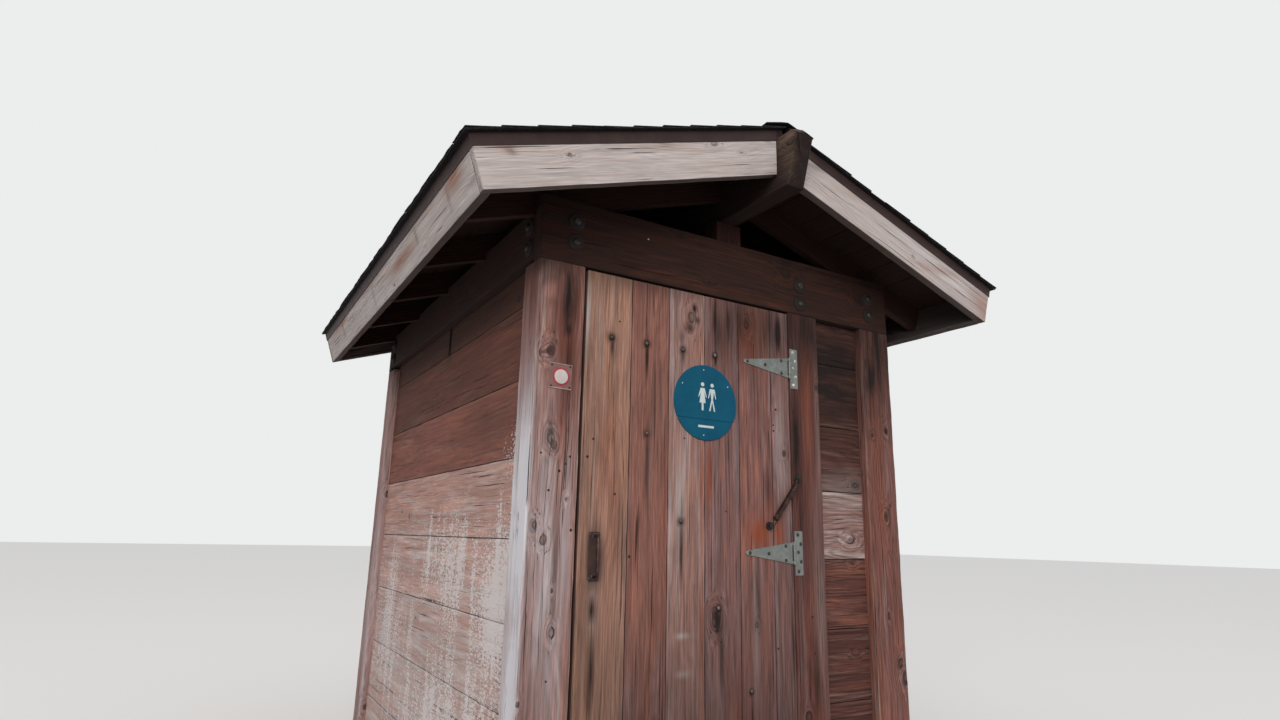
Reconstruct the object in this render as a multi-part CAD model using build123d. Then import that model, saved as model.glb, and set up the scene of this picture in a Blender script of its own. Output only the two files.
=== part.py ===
from build123d import *
import math
import os

# Wooden outhouse: a post and beam cabin with plank walls, an open gable roof and a ledged door.
# X runs along the front, Y from front to back and Z up from the ground. The cabin is modelled
# about its own middle, and the export puts the origin under the middle of the ridge beam.

# Plan, over the corner posts
width = 1830
depth = 2400

# Fits
joint_gap = 0.3           # saw fit in grooves and notches and at butted ends
plank_gap = 2             # open joint between neighbouring planks

# Posts
post_width = 187          # along the front
post_depth = 138          # along the side
post_top_clearance = 12   # under the rafters
door_post_width = 171
door_post_depth = 89
groove_depth = 15         # how far the wall planks enter the posts

# Beams and plates
beam_top = 2380
beam_thickness = 64
front_beam_height = 218
side_beam_height = 200
plate_height = 38
plate_set_back = 6

# Walls of wide planks
plank_thickness = 38
plank_recess = 38         # from the outer faces of the posts
plank_pitch = 292
bay_plank_pitch = 287
lowest_plank_height = 256
lowest_bay_plank_height = 212
narrowest_plank = 80
wall_bottom = 30

# Floor
floor_top = 180
floor_thickness = 38
floor_board_pitch = 145
sill_thickness = 38
sill_height = 130
joist_thickness = 38
joist_height = 89
joist_pitch = 430

# Door
door_width = 987
door_thickness = 38
latch_gap = 10            # between the leaf and the left post
hinge_gap = 6             # between the leaf and the door post
door_bottom_gap = 12
door_top_gap = 10
first_board_width = 198
door_board_width = 172
narrowest_board = 60
ledge_width = 140
ledge_thickness = 25
ledge_inset = 48          # clear of the stop on the left post
upper_ledge_drop = 175    # from the leaf's top to the upper ledge
lower_ledge_rise = 60     # from the leaf's bottom to the lower ledge
brace_width = 120
stop_width = 35
stop_depth = 38
stop_gap = 6              # behind the closed leaf

# T hinges
barrel_radius = 5.5
barrel_gap = 0.3          # behind the barrel
pin_radius = 3
pin_gap = 0.25
knuckle_length = 60       # on the plate, between the two knuckles of the strap
knuckle_gap = 0.5
strap_length = 252        # from the pin to the tip
strap_root = 90
strap_tip = 20
strap_thickness = 4
plate_reach = 49          # from the pin to the plate's far edge
hinge_plate_height = 178
upper_hinge_drop = 247    # from the leaf's top to the hinge's middle
lower_hinge_rise = 934    # from the leaf's bottom to the hinge's middle

# Gate spring across the hinge line
spring_post_offset = 30   # from the pin to the foot on the door post
spring_door_offset = 129  # from the pin to the foot on the leaf
spring_post_rise = 304    # above the lower hinge
spring_door_rise = 106
spring_stand_off = 18
coil_radius = 12
coil_end = 34             # from a stud's axis to the start of the coil
eye_radius = 5
foot_radius = 17
foot_thickness = 5
stud_radius = 6

# Pull, signs
pull_from_edge = 65
pull_rise = 929           # from the floor to the pull's middle
pull_length = 150
pull_reach = 38
pull_bar_radius = 6
pull_plate_width = 44
pull_plate_length = 168
pull_plate_thickness = 3
round_sign_radius = 152.4
round_sign_thickness = 6
round_sign_offset = 543   # from the leaf's left edge
round_sign_rise = 1524    # from the floor to its centre
small_sign_width = 92
small_sign_length = 96
small_sign_thickness = 3
small_sign_offset = 104   # from the left post's outer face
small_sign_rise = 1549    # from the floor to its centre

# Roof
roof_run = 12
roof_rise = 4
side_overhang = 373
front_overhang = 311
rear_overhang = 115
rafter_thickness = 38
rafter_depth = 115
rafter_pairs = 5
heel_cut = 28             # depth of the birdsmouth at the beam's outer face
trim_thickness = 38       # barge boards and fascias
trim_height = 152
king_post_width = 130
king_post_thickness = 89
ridge_thickness = 89
ridge_height = 240
ridge_tip = 54            # past the barge boards, at the bottom
ridge_rake = 75           # how much further the tip's top reaches
deck_thickness = 38
drip_thickness = 3
drip_lap = 10             # over the top of the barge boards and fascias
roofing_thickness = 12
roofing_overhang = 25
cap_width = 110
cap_thickness = 12

# Lines that the pieces share
right = width / 2
front = -depth / 2
front_beam_bottom = beam_top - front_beam_height
side_beam_bottom = beam_top - side_beam_height
floor_underside = floor_top - floor_thickness
post_inside = right - post_width
plank_outside = right - plank_recess
plank_inside = plank_outside - plank_thickness
leaf_left = -post_inside + latch_gap
leaf_right = leaf_left + door_width
leaf_bottom = floor_top + door_bottom_gap
leaf_top = front_beam_bottom - door_top_gap
leaf_back = front + door_thickness
door_post_left = leaf_right + hinge_gap
door_post_right = door_post_left + door_post_width
pin_x = leaf_right + hinge_gap / 2
pin_y = front - barrel_radius - barrel_gap
upper_hinge_height = leaf_top - upper_hinge_drop
lower_hinge_height = leaf_bottom + lower_hinge_rise
spring_post_height = lower_hinge_height + spring_post_rise
spring_door_height = lower_hinge_height + spring_door_rise
pull_height = floor_top + pull_rise
round_sign_height = floor_top + round_sign_rise
small_sign_height = floor_top + small_sign_rise
slope = math.atan2(roof_rise, roof_run)
rafter_plumb = rafter_depth / math.cos(slope)
roof_apex = beam_top - heel_cut + rafter_plumb + right * roof_rise / roof_run
ridge_bottom = roof_apex - ridge_height
slope_length = (right + side_overhang) / math.cos(slope)
roof_front = front - front_overhang
roof_rear = -front + rear_overhang
ridge_side = ridge_thickness / 2 + joint_gap


def block(x, y, z):
    """A squared timber between pairs of X, Y and Z."""
    size = Box(x[1] - x[0], y[1] - y[0], z[1] - z[0])
    return Pos((x[0] + x[1]) / 2, (y[0] + y[1]) / 2, (z[0] + z[1]) / 2) * size


def to_left(shape):
    return mirror(shape, about=Plane.YZ)


def to_rear(shape):
    return mirror(shape, about=Plane.XZ)


def rod(start, end, radius):
    """A round bar from one point to another."""
    path = Vector(*end) - Vector(*start)
    return extrude(Plane(origin=start, z_dir=path) * Circle(radius), amount=path.length)


def on_slope(along, across, height, plumb=0):
    """A piece that lies with the right roof slope, cut plumb beside the ridge.

    along is the distance down the slope from the apex, across is Y, and height is measured
    square to the slope from the tops of the rafters.
    """
    roof = Plane(
        origin=(0, 0, roof_apex),
        x_dir=(math.cos(slope), 0, -math.sin(slope)),
        z_dir=(math.sin(slope), 0, math.cos(slope)),
    )
    middle = Pos((along[0] + along[1]) / 2, (across[0] + across[1]) / 2)
    outline = middle * Rectangle(along[1] - along[0], across[1] - across[0])
    piece = extrude(roof.offset(height[0]) * outline, amount=height[1] - height[0])
    past_ridge = block((-width, plumb), (2 * roof_front, 2 * roof_rear), (0, 2 * roof_apex))
    return piece - past_ridge


def rafter_underside(x):
    return roof_apex - x * roof_rise / roof_run - rafter_plumb


def export(name, *solids):
    """Writes one node, as one solid or as several that share it."""
    middle = (roof_front + roof_rear) / 2
    moved = [Pos(0, -middle, 0) * solid for shape in solids for solid in shape.solids()]
    export_step(moved[0] if len(moved) == 1 else Compound(moved), f"parts/{name}.step")


# Corner posts: notched for the beams on top, grooved for the planks

def corner_post(bay_groove):
    """The front right post."""
    post_top = rafter_underside(right - beam_thickness) - post_top_clearance
    post = block((post_inside, right), (front, front + post_depth), (0, post_top))
    behind_beam = front + beam_thickness
    post -= block((0, width), (2 * front, behind_beam + joint_gap), (front_beam_bottom, beam_top))
    side_notch = (right - beam_thickness - joint_gap, width)
    post -= block(side_notch, (2 * front, 0), (side_beam_bottom, beam_top))
    groove_floor = front + post_depth - groove_depth - joint_gap
    planks = (plank_inside - joint_gap, plank_outside + joint_gap)
    post -= block(planks, (groove_floor, 0), (-1, side_beam_bottom))
    if bay_groove:
        post -= bay_plank_groove(post_inside, post_inside + groove_depth + joint_gap)
    return post


def bay_plank_groove(x_from, x_to):
    planks = (front + plank_recess - joint_gap, front + plank_recess + plank_thickness + joint_gap)
    return block((x_from, x_to), planks, (-1, front_beam_bottom))


# Plank walls

def plank_edges(lowest, pitch, top):
    """Bottom and top of each plank in a wall, with the open joints left between them."""
    edges = [wall_bottom]
    joint = wall_bottom + lowest
    while joint < top - narrowest_plank:
        edges.append(joint)
        joint += pitch
    edges.append(top)
    return [(low, high - plank_gap) for low, high in zip(edges, edges[1:])]


def side_wall():
    """The right wall. Its top plank is butted from two lengths."""
    reach = -front - post_depth + groove_depth
    layers = plank_edges(lowest_plank_height, plank_pitch, side_beam_bottom)
    across = (plank_inside, plank_outside)
    planks = [block(across, (-reach, reach), layer) for layer in layers[:-1]]
    planks.append(block(across, (-reach, -plank_gap), layers[-1]))
    planks.append(block(across, (plank_gap, reach), layers[-1]))
    return planks


def rear_wall():
    reach = post_inside + groove_depth
    layers = plank_edges(lowest_plank_height, plank_pitch, front_beam_bottom)
    through = (-front - plank_recess - plank_thickness, -front - plank_recess)
    return [block((-reach, reach), through, layer) for layer in layers]


def front_bay_wall():
    """Short planks between the door post and the right post."""
    across = (door_post_right - groove_depth, post_inside + groove_depth)
    layers = plank_edges(lowest_bay_plank_height, bay_plank_pitch, front_beam_bottom)
    through = (front + plank_recess, front + plank_recess + plank_thickness)
    return [block(across, through, layer) for layer in layers]


def door_post():
    post = block(
        (door_post_left, door_post_right), (front, front + door_post_depth), (0, front_beam_bottom)
    )
    return post - bay_plank_groove(door_post_right - groove_depth - joint_gap, door_post_right)


# Beams over the posts

def front_beam():
    return block((-right, right), (front, front + beam_thickness), (front_beam_bottom, beam_top))


def side_beam():
    reach = -front - beam_thickness - joint_gap
    return block((right - beam_thickness, right), (-reach, reach), (side_beam_bottom, beam_top))


def front_plate():
    through = (front + plate_set_back, front + beam_thickness)
    return block((-right, right), through, (beam_top, beam_top + plate_height))


# Floor

def sills():
    """Edge boards under the floor, let in between the posts and inside the planks."""
    height = (floor_underside - sill_height, floor_underside)
    side_reach = -front - post_depth - joint_gap
    side = block((plank_inside - sill_thickness, plank_inside), (-side_reach, side_reach), height)
    end_reach = post_inside - joint_gap
    behind_door_post = front + door_post_depth
    end = block((-end_reach, end_reach), (behind_door_post, behind_door_post + sill_thickness), height)
    return side, end


def floor_joists():
    reach = plank_inside - sill_thickness - joint_gap
    run = depth - 2 * post_depth
    count = int(run // joist_pitch)
    height = (floor_underside - joist_height, floor_underside)
    joists = []
    for number in range(count):
        middle = (number - (count - 1) / 2) * joist_pitch
        across = (middle - joist_thickness / 2, middle + joist_thickness / 2)
        joists.append(block((-reach, reach), across, height))
    return joists


def floor_boards():
    """Boards from front to back, with a shorter one beside the posts at each side."""
    height = (floor_underside, floor_top)
    long_reach = -front - door_post_depth - joint_gap
    short_reach = -front - post_depth - joint_gap
    count = int(2 * post_inside // floor_board_pitch)
    pitch = 2 * post_inside / count
    boards = []
    for number in range(count):
        start = -post_inside + number * pitch
        across = (start + joint_gap, start + pitch - plank_gap)
        boards.append(block(across, (-long_reach, long_reach), height))
    edge = block(
        (post_inside + plank_gap, plank_inside - joint_gap), (-short_reach, short_reach), height
    )
    return boards + [edge, to_left(edge)]


def threshold():
    across = (-post_inside + joint_gap, door_post_left - joint_gap)
    bottom = floor_underside - sill_height
    return block(across, (front, front + door_post_depth - joint_gap), (bottom, floor_top))


def door_stops():
    """Strips that the closed leaf meets: up the left post and under the front beam."""
    through = (leaf_back + stop_gap, leaf_back + stop_gap + stop_depth)
    post_side = -post_inside + stop_width
    up = block((-post_inside, post_side), through, (floor_top, front_beam_bottom))
    over = block(
        (post_side + joint_gap, door_post_left - joint_gap),
        through,
        (front_beam_bottom - stop_width, front_beam_bottom),
    )
    return up, over


# Door

def door_boards():
    """Upright boards. The first is wide, and the last is ripped to what is left."""
    room = door_width - first_board_width - narrowest_board
    edges = [leaf_left, leaf_left + first_board_width]
    for _ in range(int(room // door_board_width)):
        edges.append(edges[-1] + door_board_width)
    edges.append(leaf_right + plank_gap)
    return [
        block((low, high - plank_gap), (front, leaf_back), (leaf_bottom, leaf_top))
        for low, high in zip(edges, edges[1:])
    ]


def door_ledges():
    """Two ledges across the back of the leaf and the brace between them."""
    through = (leaf_back, leaf_back + ledge_thickness)
    across = (leaf_left + ledge_inset, leaf_right - ledge_inset)
    top_of_lower = leaf_bottom + lower_ledge_rise + ledge_width
    foot_of_upper = leaf_top - upper_ledge_drop - ledge_width
    lower = block(across, through, (top_of_lower - ledge_width, top_of_lower))
    upper = block(across, through, (foot_of_upper, foot_of_upper + ledge_width))
    rise = foot_of_upper - top_of_lower - 2 * joint_gap
    run = across[1] - across[0] - brace_width
    outline = Polyline(
        (across[0], foot_of_upper - joint_gap),
        (across[0] + brace_width, foot_of_upper - joint_gap),
        (across[0] + brace_width + run, foot_of_upper - joint_gap - rise),
        (across[0] + run, foot_of_upper - joint_gap - rise),
        close=True,
    )
    back = Plane(origin=(0, leaf_back, 0), x_dir=(1, 0, 0), z_dir=(0, -1, 0))
    brace = extrude(back * make_face(outline), amount=-ledge_thickness)
    return lower, upper, brace


# T hinges: a tapered strap on the leaf, a plate on the door post and the pin that joins them

def knuckle(low, high, radius):
    return rod((pin_x, pin_y, low), (pin_x, pin_y, high), radius)


def hinge_strap(level):
    face = Plane(origin=(pin_x, front, level), x_dir=(1, 0, 0), z_dir=(0, -1, 0))
    outline = Polyline(
        (0, strap_root / 2),
        (-strap_length, strap_tip / 2),
        (-strap_length, -strap_tip / 2),
        (0, -strap_root / 2),
        close=True,
    )
    tapered = extrude(face * make_face(outline), amount=strap_thickness)
    tip_edges = tapered.edges().filter_by(Axis.Y).group_by(Axis.X)[0]
    strap = fillet(tip_edges, strap_tip * 0.4)
    window = knuckle_length / 2 + knuckle_gap
    clear = barrel_radius + knuckle_gap
    opening = (level - window, level + window)
    strap -= block((pin_x - clear, pin_x + clear), (2 * front, front), opening)
    for low, high in ((-strap_root / 2, -window), (window, strap_root / 2)):
        strap += knuckle(level + low, level + high, barrel_radius)
    return strap - knuckle(level - strap_root, level + strap_root, pin_radius + pin_gap)


def hinge_plate(level):
    half = hinge_plate_height / 2
    through = (front - strap_thickness, front)
    clear = barrel_radius + 2 * knuckle_gap
    plate = block((pin_x + clear, pin_x + plate_reach), through, (level - half, level + half))
    half_knuckle = knuckle_length / 2
    plate += block((pin_x, pin_x + clear), through, (level - half_knuckle, level + half_knuckle))
    plate += knuckle(level - half_knuckle, level + half_knuckle, barrel_radius)
    head = strap_root / 2 + knuckle_gap
    plate += knuckle(level - head, level + head, pin_radius)
    for low in (-head - pin_radius, head):
        plate += knuckle(level + low, level + low + pin_radius, barrel_radius * 0.8)
    return plate


# Gate spring: a foot with a stud on the door post and on the leaf, and the coil between them

def spring_foot(offset, level):
    x = pin_x + offset
    foot = rod((x, front, level), (x, front - foot_thickness, level), foot_radius)
    out = front - spring_stand_off - eye_radius
    return foot + rod((x, front, level), (x, out, level), stud_radius)


def closing_spring():
    line = front - spring_stand_off
    high = Vector(pin_x + spring_post_offset, line, spring_post_height)
    low = Vector(pin_x - spring_door_offset, line, spring_door_height)
    down = (low - high).normalized()
    reach = stud_radius + joint_gap
    eye = rod(high + down * reach, low - down * reach, eye_radius)
    return eye + rod(high + down * coil_end, low - down * coil_end, coil_radius)


# Pull and signs

def door_pull():
    """A round bar bent out from a narrow iron plate."""
    x = leaf_left + pull_from_edge
    half = pull_plate_width / 2
    plate_ends = (pull_height - pull_plate_length / 2, pull_height + pull_plate_length / 2)
    plate = block((x - half, x + half), (front - pull_plate_thickness, front), plate_ends)
    foot = pull_length / 2 - pull_bar_radius
    shoulder = pull_reach - pull_bar_radius
    side = Plane(origin=(x, front, pull_height), x_dir=(0, -1, 0), z_dir=(1, 0, 0))
    path = FilletPolyline(
        (0, foot), (shoulder, foot * 0.72), (shoulder, -foot * 0.72), (0, -foot), radius=22
    )
    start = Plane(origin=(side * path) @ 0, z_dir=(side * path) % 0)
    bar = sweep(start * Circle(pull_bar_radius), path=side * path)
    bar -= block((x - half, x + half), (front, front + pull_reach), plate_ends)
    return plate + bar


def round_sign():
    x = leaf_left + round_sign_offset
    back = (x, front, round_sign_height)
    face = (x, front - round_sign_thickness, round_sign_height)
    return rod(back, face, round_sign_radius)


def small_sign():
    x = -right + small_sign_offset
    across = (x - small_sign_width / 2, x + small_sign_width / 2)
    upright = (small_sign_height - small_sign_length / 2, small_sign_height + small_sign_length / 2)
    return block(across, (front - small_sign_thickness, front), upright)


# Roof frame

def rafter(middle):
    """A right-hand rafter: plumb cut at the ridge, birdsmouth on the side beam, square tail."""
    across = (middle - rafter_thickness / 2, middle + rafter_thickness / 2)
    length = slope_length - trim_thickness
    timber = on_slope((-ridge_thickness, length), across, (-rafter_depth, 0), plumb=ridge_side)
    seat = (right - heel_cut * roof_run / roof_rise, right + joint_gap)
    return timber - block(seat, (2 * front, -2 * front), (0, beam_top))


def rafter_lines():
    """Y of each rafter pair. The end pairs stand just inside the front and rear beams."""
    reach = -front - beam_thickness - joint_gap - rafter_thickness / 2
    return [reach * (2 * number / (rafter_pairs - 1) - 1) for number in range(rafter_pairs)]


def king_post():
    face = front + beam_thickness + joint_gap
    through = (face, face + king_post_thickness)
    half = king_post_width / 2
    return block((-half, half), through, (front_beam_bottom, ridge_bottom))


def ridge_beam():
    """A deep timber on the king posts, its top planed to both slopes and its ends cut to a rake."""
    half = ridge_thickness / 2
    front_tip = roof_front - ridge_tip
    rear_tip = roof_rear + ridge_tip
    side = Plane(origin=(-half, 0, 0), x_dir=(0, 1, 0), z_dir=(1, 0, 0))
    outline = Polyline(
        (front_tip, ridge_bottom),
        (rear_tip, ridge_bottom),
        (rear_tip + ridge_rake, roof_apex),
        (front_tip - ridge_rake, roof_apex),
        close=True,
    )
    beam = extrude(side * make_face(outline), amount=ridge_thickness)
    planed = on_slope((-ridge_height, width), (2 * roof_front, 2 * roof_rear), (0, ridge_height))
    return beam - planed - to_left(planed)


def barge_board():
    """The front right barge board, over the end of the fascia."""
    across = (roof_front, roof_front + trim_thickness)
    return on_slope((-ridge_thickness, slope_length), across, (-trim_height, 0), plumb=ridge_side)


def rear_barge_board():
    across = (roof_rear - trim_thickness, roof_rear)
    return on_slope((-ridge_thickness, slope_length), across, (-trim_height, 0), plumb=ridge_side)


def fascia():
    across = (roof_front + trim_thickness + joint_gap, roof_rear - trim_thickness - joint_gap)
    return on_slope((slope_length - trim_thickness, slope_length), across, (-trim_height, 0))


# Roof covering

def roof_deck():
    along = (-deck_thickness, slope_length)
    return on_slope(along, (roof_front, roof_rear), (0, deck_thickness), plumb=plank_gap / 2)


def drip_edges():
    """Folded metal edging along the front, the eave and the back of one slope."""
    height = (-drip_lap, deck_thickness)
    outer = slope_length + drip_thickness
    ends = ((roof_front - drip_thickness, roof_front), (roof_rear, roof_rear + drip_thickness))
    rakes = [on_slope((-deck_thickness, outer), end, height, plumb=ridge_side) for end in ends]
    eave = on_slope((slope_length, outer), (roof_front + joint_gap, roof_rear - joint_gap), height)
    return rakes + [eave]


def roofing():
    along = (-deck_thickness, slope_length + roofing_overhang)
    across = (roof_front - roofing_overhang, roof_rear + roofing_overhang)
    height = (deck_thickness, deck_thickness + roofing_thickness)
    return on_slope(along, across, height, plumb=plank_gap / 2)


def ridge_cap():
    """The right half of the strip over the ridge."""
    across = (roof_front - roofing_overhang, roof_rear + roofing_overhang)
    base = deck_thickness + roofing_thickness
    return on_slope((-base, cap_width), across, (base, base + cap_thickness), plumb=joint_gap / 2)


os.makedirs("parts", exist_ok=True)

plain_post = corner_post(bay_groove=False)
grooved_post = corner_post(bay_groove=True)
export("front_left_post", to_left(plain_post))
export("front_right_post", grooved_post)
export("rear_left_post", to_rear(to_left(grooved_post)))
export("rear_right_post", to_rear(grooved_post))
export("door_post", door_post())

export("front_beam", front_beam())
export("rear_beam", to_rear(front_beam()))
export("left_beam", to_left(side_beam()))
export("right_beam", side_beam())
export("front_plate", front_plate())
export("rear_plate", to_rear(front_plate()))

export("left_wall", *[to_left(plank) for plank in side_wall()])
export("right_wall", *side_wall())
export("rear_wall", *rear_wall())
export("front_bay_wall", *front_bay_wall())

side_sill, end_sill = sills()
export("sills", side_sill, to_left(side_sill), end_sill, to_rear(end_sill))
export("floor_joists", *floor_joists())
export("floor_boards", *floor_boards())
export("threshold", threshold())
export("door_stops", *door_stops())

export("door_boards", *door_boards())
export("door_ledges", *door_ledges())
export("upper_hinge_strap", hinge_strap(upper_hinge_height))
export("lower_hinge_strap", hinge_strap(lower_hinge_height))
export("upper_hinge_plate", hinge_plate(upper_hinge_height))
export("lower_hinge_plate", hinge_plate(lower_hinge_height))
export("spring_post_foot", spring_foot(spring_post_offset, spring_post_height))
export("spring_door_foot", spring_foot(-spring_door_offset, spring_door_height))
export("closing_spring", closing_spring())
export("door_pull", door_pull())
export("round_sign", round_sign())
export("small_sign", small_sign())

for number, line in enumerate(rafter_lines(), start=1):
    export(f"rafter_pair_{number}", rafter(line), to_left(rafter(line)))
export("front_king_post", king_post())
export("rear_king_post", to_rear(king_post()))
export("ridge_beam", ridge_beam())
export("front_right_barge_board", barge_board())
export("front_left_barge_board", to_left(barge_board()))
export("rear_right_barge_board", rear_barge_board())
export("rear_left_barge_board", to_left(rear_barge_board()))
export("right_fascia", fascia())
export("left_fascia", to_left(fascia()))

export("right_roof_deck", roof_deck())
export("left_roof_deck", to_left(roof_deck()))
export("right_drip_edge", *drip_edges())
export("left_drip_edge", *[to_left(strip) for strip in drip_edges()])
export("right_roofing", roofing())
export("left_roofing", to_left(roofing()))
export("ridge_cap", ridge_cap(), to_left(ridge_cap()))
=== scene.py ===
import math
import bmesh
import bpy
import numpy as np
from mathutils import Matrix, Vector


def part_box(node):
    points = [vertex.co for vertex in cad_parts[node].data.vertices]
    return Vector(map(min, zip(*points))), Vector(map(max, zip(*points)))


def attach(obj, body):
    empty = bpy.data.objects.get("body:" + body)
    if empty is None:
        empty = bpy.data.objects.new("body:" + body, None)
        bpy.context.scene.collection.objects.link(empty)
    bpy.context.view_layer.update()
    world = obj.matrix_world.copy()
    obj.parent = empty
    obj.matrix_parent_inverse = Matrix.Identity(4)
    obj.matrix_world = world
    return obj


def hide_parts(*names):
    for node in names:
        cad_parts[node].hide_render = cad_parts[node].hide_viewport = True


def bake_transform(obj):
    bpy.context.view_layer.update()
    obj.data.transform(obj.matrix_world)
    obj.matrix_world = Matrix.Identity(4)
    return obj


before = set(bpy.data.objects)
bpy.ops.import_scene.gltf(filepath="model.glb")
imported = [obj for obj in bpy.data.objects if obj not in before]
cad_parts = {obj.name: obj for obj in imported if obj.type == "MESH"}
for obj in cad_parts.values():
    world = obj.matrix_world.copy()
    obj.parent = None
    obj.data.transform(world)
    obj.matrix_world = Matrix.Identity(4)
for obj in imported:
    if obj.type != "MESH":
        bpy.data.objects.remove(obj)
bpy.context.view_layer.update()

# The view: a small camera held low in front of the left corner post and tipped up at the gable.
# Its place, turn and lens come from the building's edges in the photograph.

FLOOR_ABOVE_GROUND = 0.180
left_post_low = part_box("front_left_post")[0]
eye = Vector((left_post_low.x, left_post_low.y, FLOOR_ABOVE_GROUND)) + Vector((-0.9575, -2.3347, 0.9981))
heading = math.radians(30.765)
tip_up = math.radians(13.6)
lean = math.radians(1.229)
FOCAL_PIXELS = 731.0
PHOTO_WIDTH = 1280

camera_data = bpy.data.cameras.new("camera")
camera_data.sensor_width = 36.0
camera_data.lens = FOCAL_PIXELS / PHOTO_WIDTH * camera_data.sensor_width
camera_data.clip_start = 0.05
camera = bpy.data.objects.new("camera", camera_data)
bpy.context.scene.collection.objects.link(camera)
ahead = Vector((
    math.sin(heading) * math.cos(tip_up), math.cos(heading) * math.cos(tip_up), math.sin(tip_up)
))
level_right = ahead.cross(Vector((0, 0, 1))).normalized()
level_up = level_right.cross(ahead)
right_hand = level_right * math.cos(lean) + level_up * math.sin(lean)
upward = level_up * math.cos(lean) - level_right * math.sin(lean)
camera.matrix_world = Matrix((
    (right_hand.x, upward.x, -ahead.x, eye.x),
    (right_hand.y, upward.y, -ahead.y, eye.y),
    (right_hand.z, upward.z, -ahead.z, eye.z),
    (0, 0, 0, 1),
))
bpy.context.scene.camera = camera
bpy.context.scene.view_settings.view_transform = "Standard"


# The studio: a pale floor under a dull, even sky, with one large soft lamp in front.
# The floor and sky look pale, but they throw back only as much light as grass and trees would.

def paint(hex_colour):
    """An sRGB hex colour as the linear values that Blender's shaders take."""
    channels = [int(hex_colour[i:i + 2], 16) / 255 for i in (1, 3, 5)]
    return (*[c / 12.92 if c <= 0.04045 else ((c + 0.055) / 1.055) ** 2.4 for c in channels], 1.0)


def add(tree, kind, links=None, **settings):
    """Adds a shader node with its settings, and links or sets its inputs."""
    node = tree.nodes.new("ShaderNode" + kind)
    for name, value in settings.items():
        setattr(node, name, value)
    for socket, value in (links or {}).items():
        if isinstance(value, bpy.types.NodeSocket):
            tree.links.new(value, node.inputs[socket])
        elif isinstance(value, bpy.types.Node):
            tree.links.new(value.outputs[0], node.inputs[socket])
        else:
            node.inputs[socket].default_value = value
    return node


def blank_material(name):
    """A new material with nothing in its node tree."""
    material = bpy.data.materials.new(name)
    material.use_nodes = True
    material.node_tree.nodes.clear()
    return material, material.node_tree


def seen_or_mirrored(tree):
    """1 for what the camera, a mirror or glass sees, and 0 for the light that falls on things."""
    path = add(tree, "LightPath")
    seen = add(tree, "Math", {0: path.outputs["Is Camera Ray"], 1: path.outputs["Is Glossy Ray"]},
               operation="MAXIMUM")
    return add(tree, "Math", {0: seen, 1: path.outputs["Is Transmission Ray"]}, operation="MAXIMUM")


floor_material, tree = blank_material("studio_floor")
floor_colour = add(tree, "Mix", {"Factor": seen_or_mirrored(tree),
                                 "A": paint("#4a4641"), "B": paint("#e6e3de")}, data_type="RGBA")
shade = add(tree, "BsdfDiffuse", {"Color": floor_colour.outputs["Result"]})
add(tree, "OutputMaterial", {"Surface": shade})
FLOOR_SIZE = 120.0
bpy.ops.mesh.primitive_plane_add(size=FLOOR_SIZE, location=(0, 0, 0))
floor = bpy.context.object
floor.name = "studio_floor"
floor.data.materials.append(floor_material)

world = bpy.data.worlds.new("dull_sky")
bpy.context.scene.world = world
world.use_nodes = True
tree = world.node_tree
tree.nodes.clear()
sky_colour = add(tree, "Mix", {"Factor": seen_or_mirrored(tree),
                               "A": paint("#e9ebf0"), "B": paint("#eceded")}, data_type="RGBA")
sky = add(tree, "Background", {"Color": sky_colour.outputs["Result"], "Strength": 1.0})
add(tree, "OutputWorld", {"Surface": sky})

lamp_data = bpy.data.lights.new("front_lamp", "AREA")
lamp_data.shape = "RECTANGLE"
lamp_data.size = 12.0
lamp_data.size_y = 7.0
lamp_data.energy = 1180.0
lamp_data.color = paint("#fff8f0")[:3]
lamp = bpy.data.objects.new("front_lamp", lamp_data)
bpy.context.scene.collection.objects.link(lamp)
lamp.location = (-8.0, -12.0, 6.0)
aim = Vector((0, -0.6, 1.1)) - lamp.location
lamp.rotation_euler = aim.to_track_quat("-Z", "Y").to_euler()


# Corner posts and door post: full-sawn redwood timbers stood on the ground and left bare. Sun and
# rain opened long drying checks, wore the arrises round and bleached the faces that they reach.

ALONG_Z = ((0, 0, 1), (1, 0, 0), (0, 1, 0))
ALONG_X = ((1, 0, 0), (0, 0, 1), (0, -1, 0))
ALONG_Y = ((0, 1, 0), (0, 0, 1), (1, 0, 0))
# Marks of the dark kind are soot and iron stains, and also painted shade under the beams and at the door's
# foot
MARK_KINDS = ("soot", "rust", "pale", "crust")


def solids(node, axes):
    """Lowest and highest corner of each separate solid of a node, measured along three axes."""
    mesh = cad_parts[node].data
    points = np.zeros(len(mesh.vertices) * 3)
    mesh.vertices.foreach_get("co", points)
    points = points.reshape(-1, 3)
    _, place = np.unique(np.round(points, 5), axis=0, return_inverse=True)
    place = place.ravel()
    group = np.arange(place.max() + 1)
    edges = np.zeros(len(mesh.edges) * 2, int)
    mesh.edges.foreach_get("vertices", edges)
    edges = place[edges.reshape(-1, 2)]
    while True:
        lowest = np.minimum(group[edges[:, 0]], group[edges[:, 1]])
        before = group.copy()
        np.minimum.at(group, edges[:, 0], lowest)
        np.minimum.at(group, edges[:, 1], lowest)
        if (before == group).all():
            break
    local = points @ np.array(axes, float).T
    found = [(local[group[place] == g].min(0), local[group[place] == g].max(0)) for g in np.unique(group)]
    return sorted(found, key=lambda ends: tuple(np.round(ends[0], 4)))


def wander(rng, places, wave, height):
    """A smooth random line: height either way, with waves of about the given length."""
    line = np.zeros(len(places))
    for octave in (1.0, 2.3, 4.7):
        line += np.sin(places / wave * octave * 2 * math.pi + rng.uniform(0, 7)) / octave
    return line * height / 1.6


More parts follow.
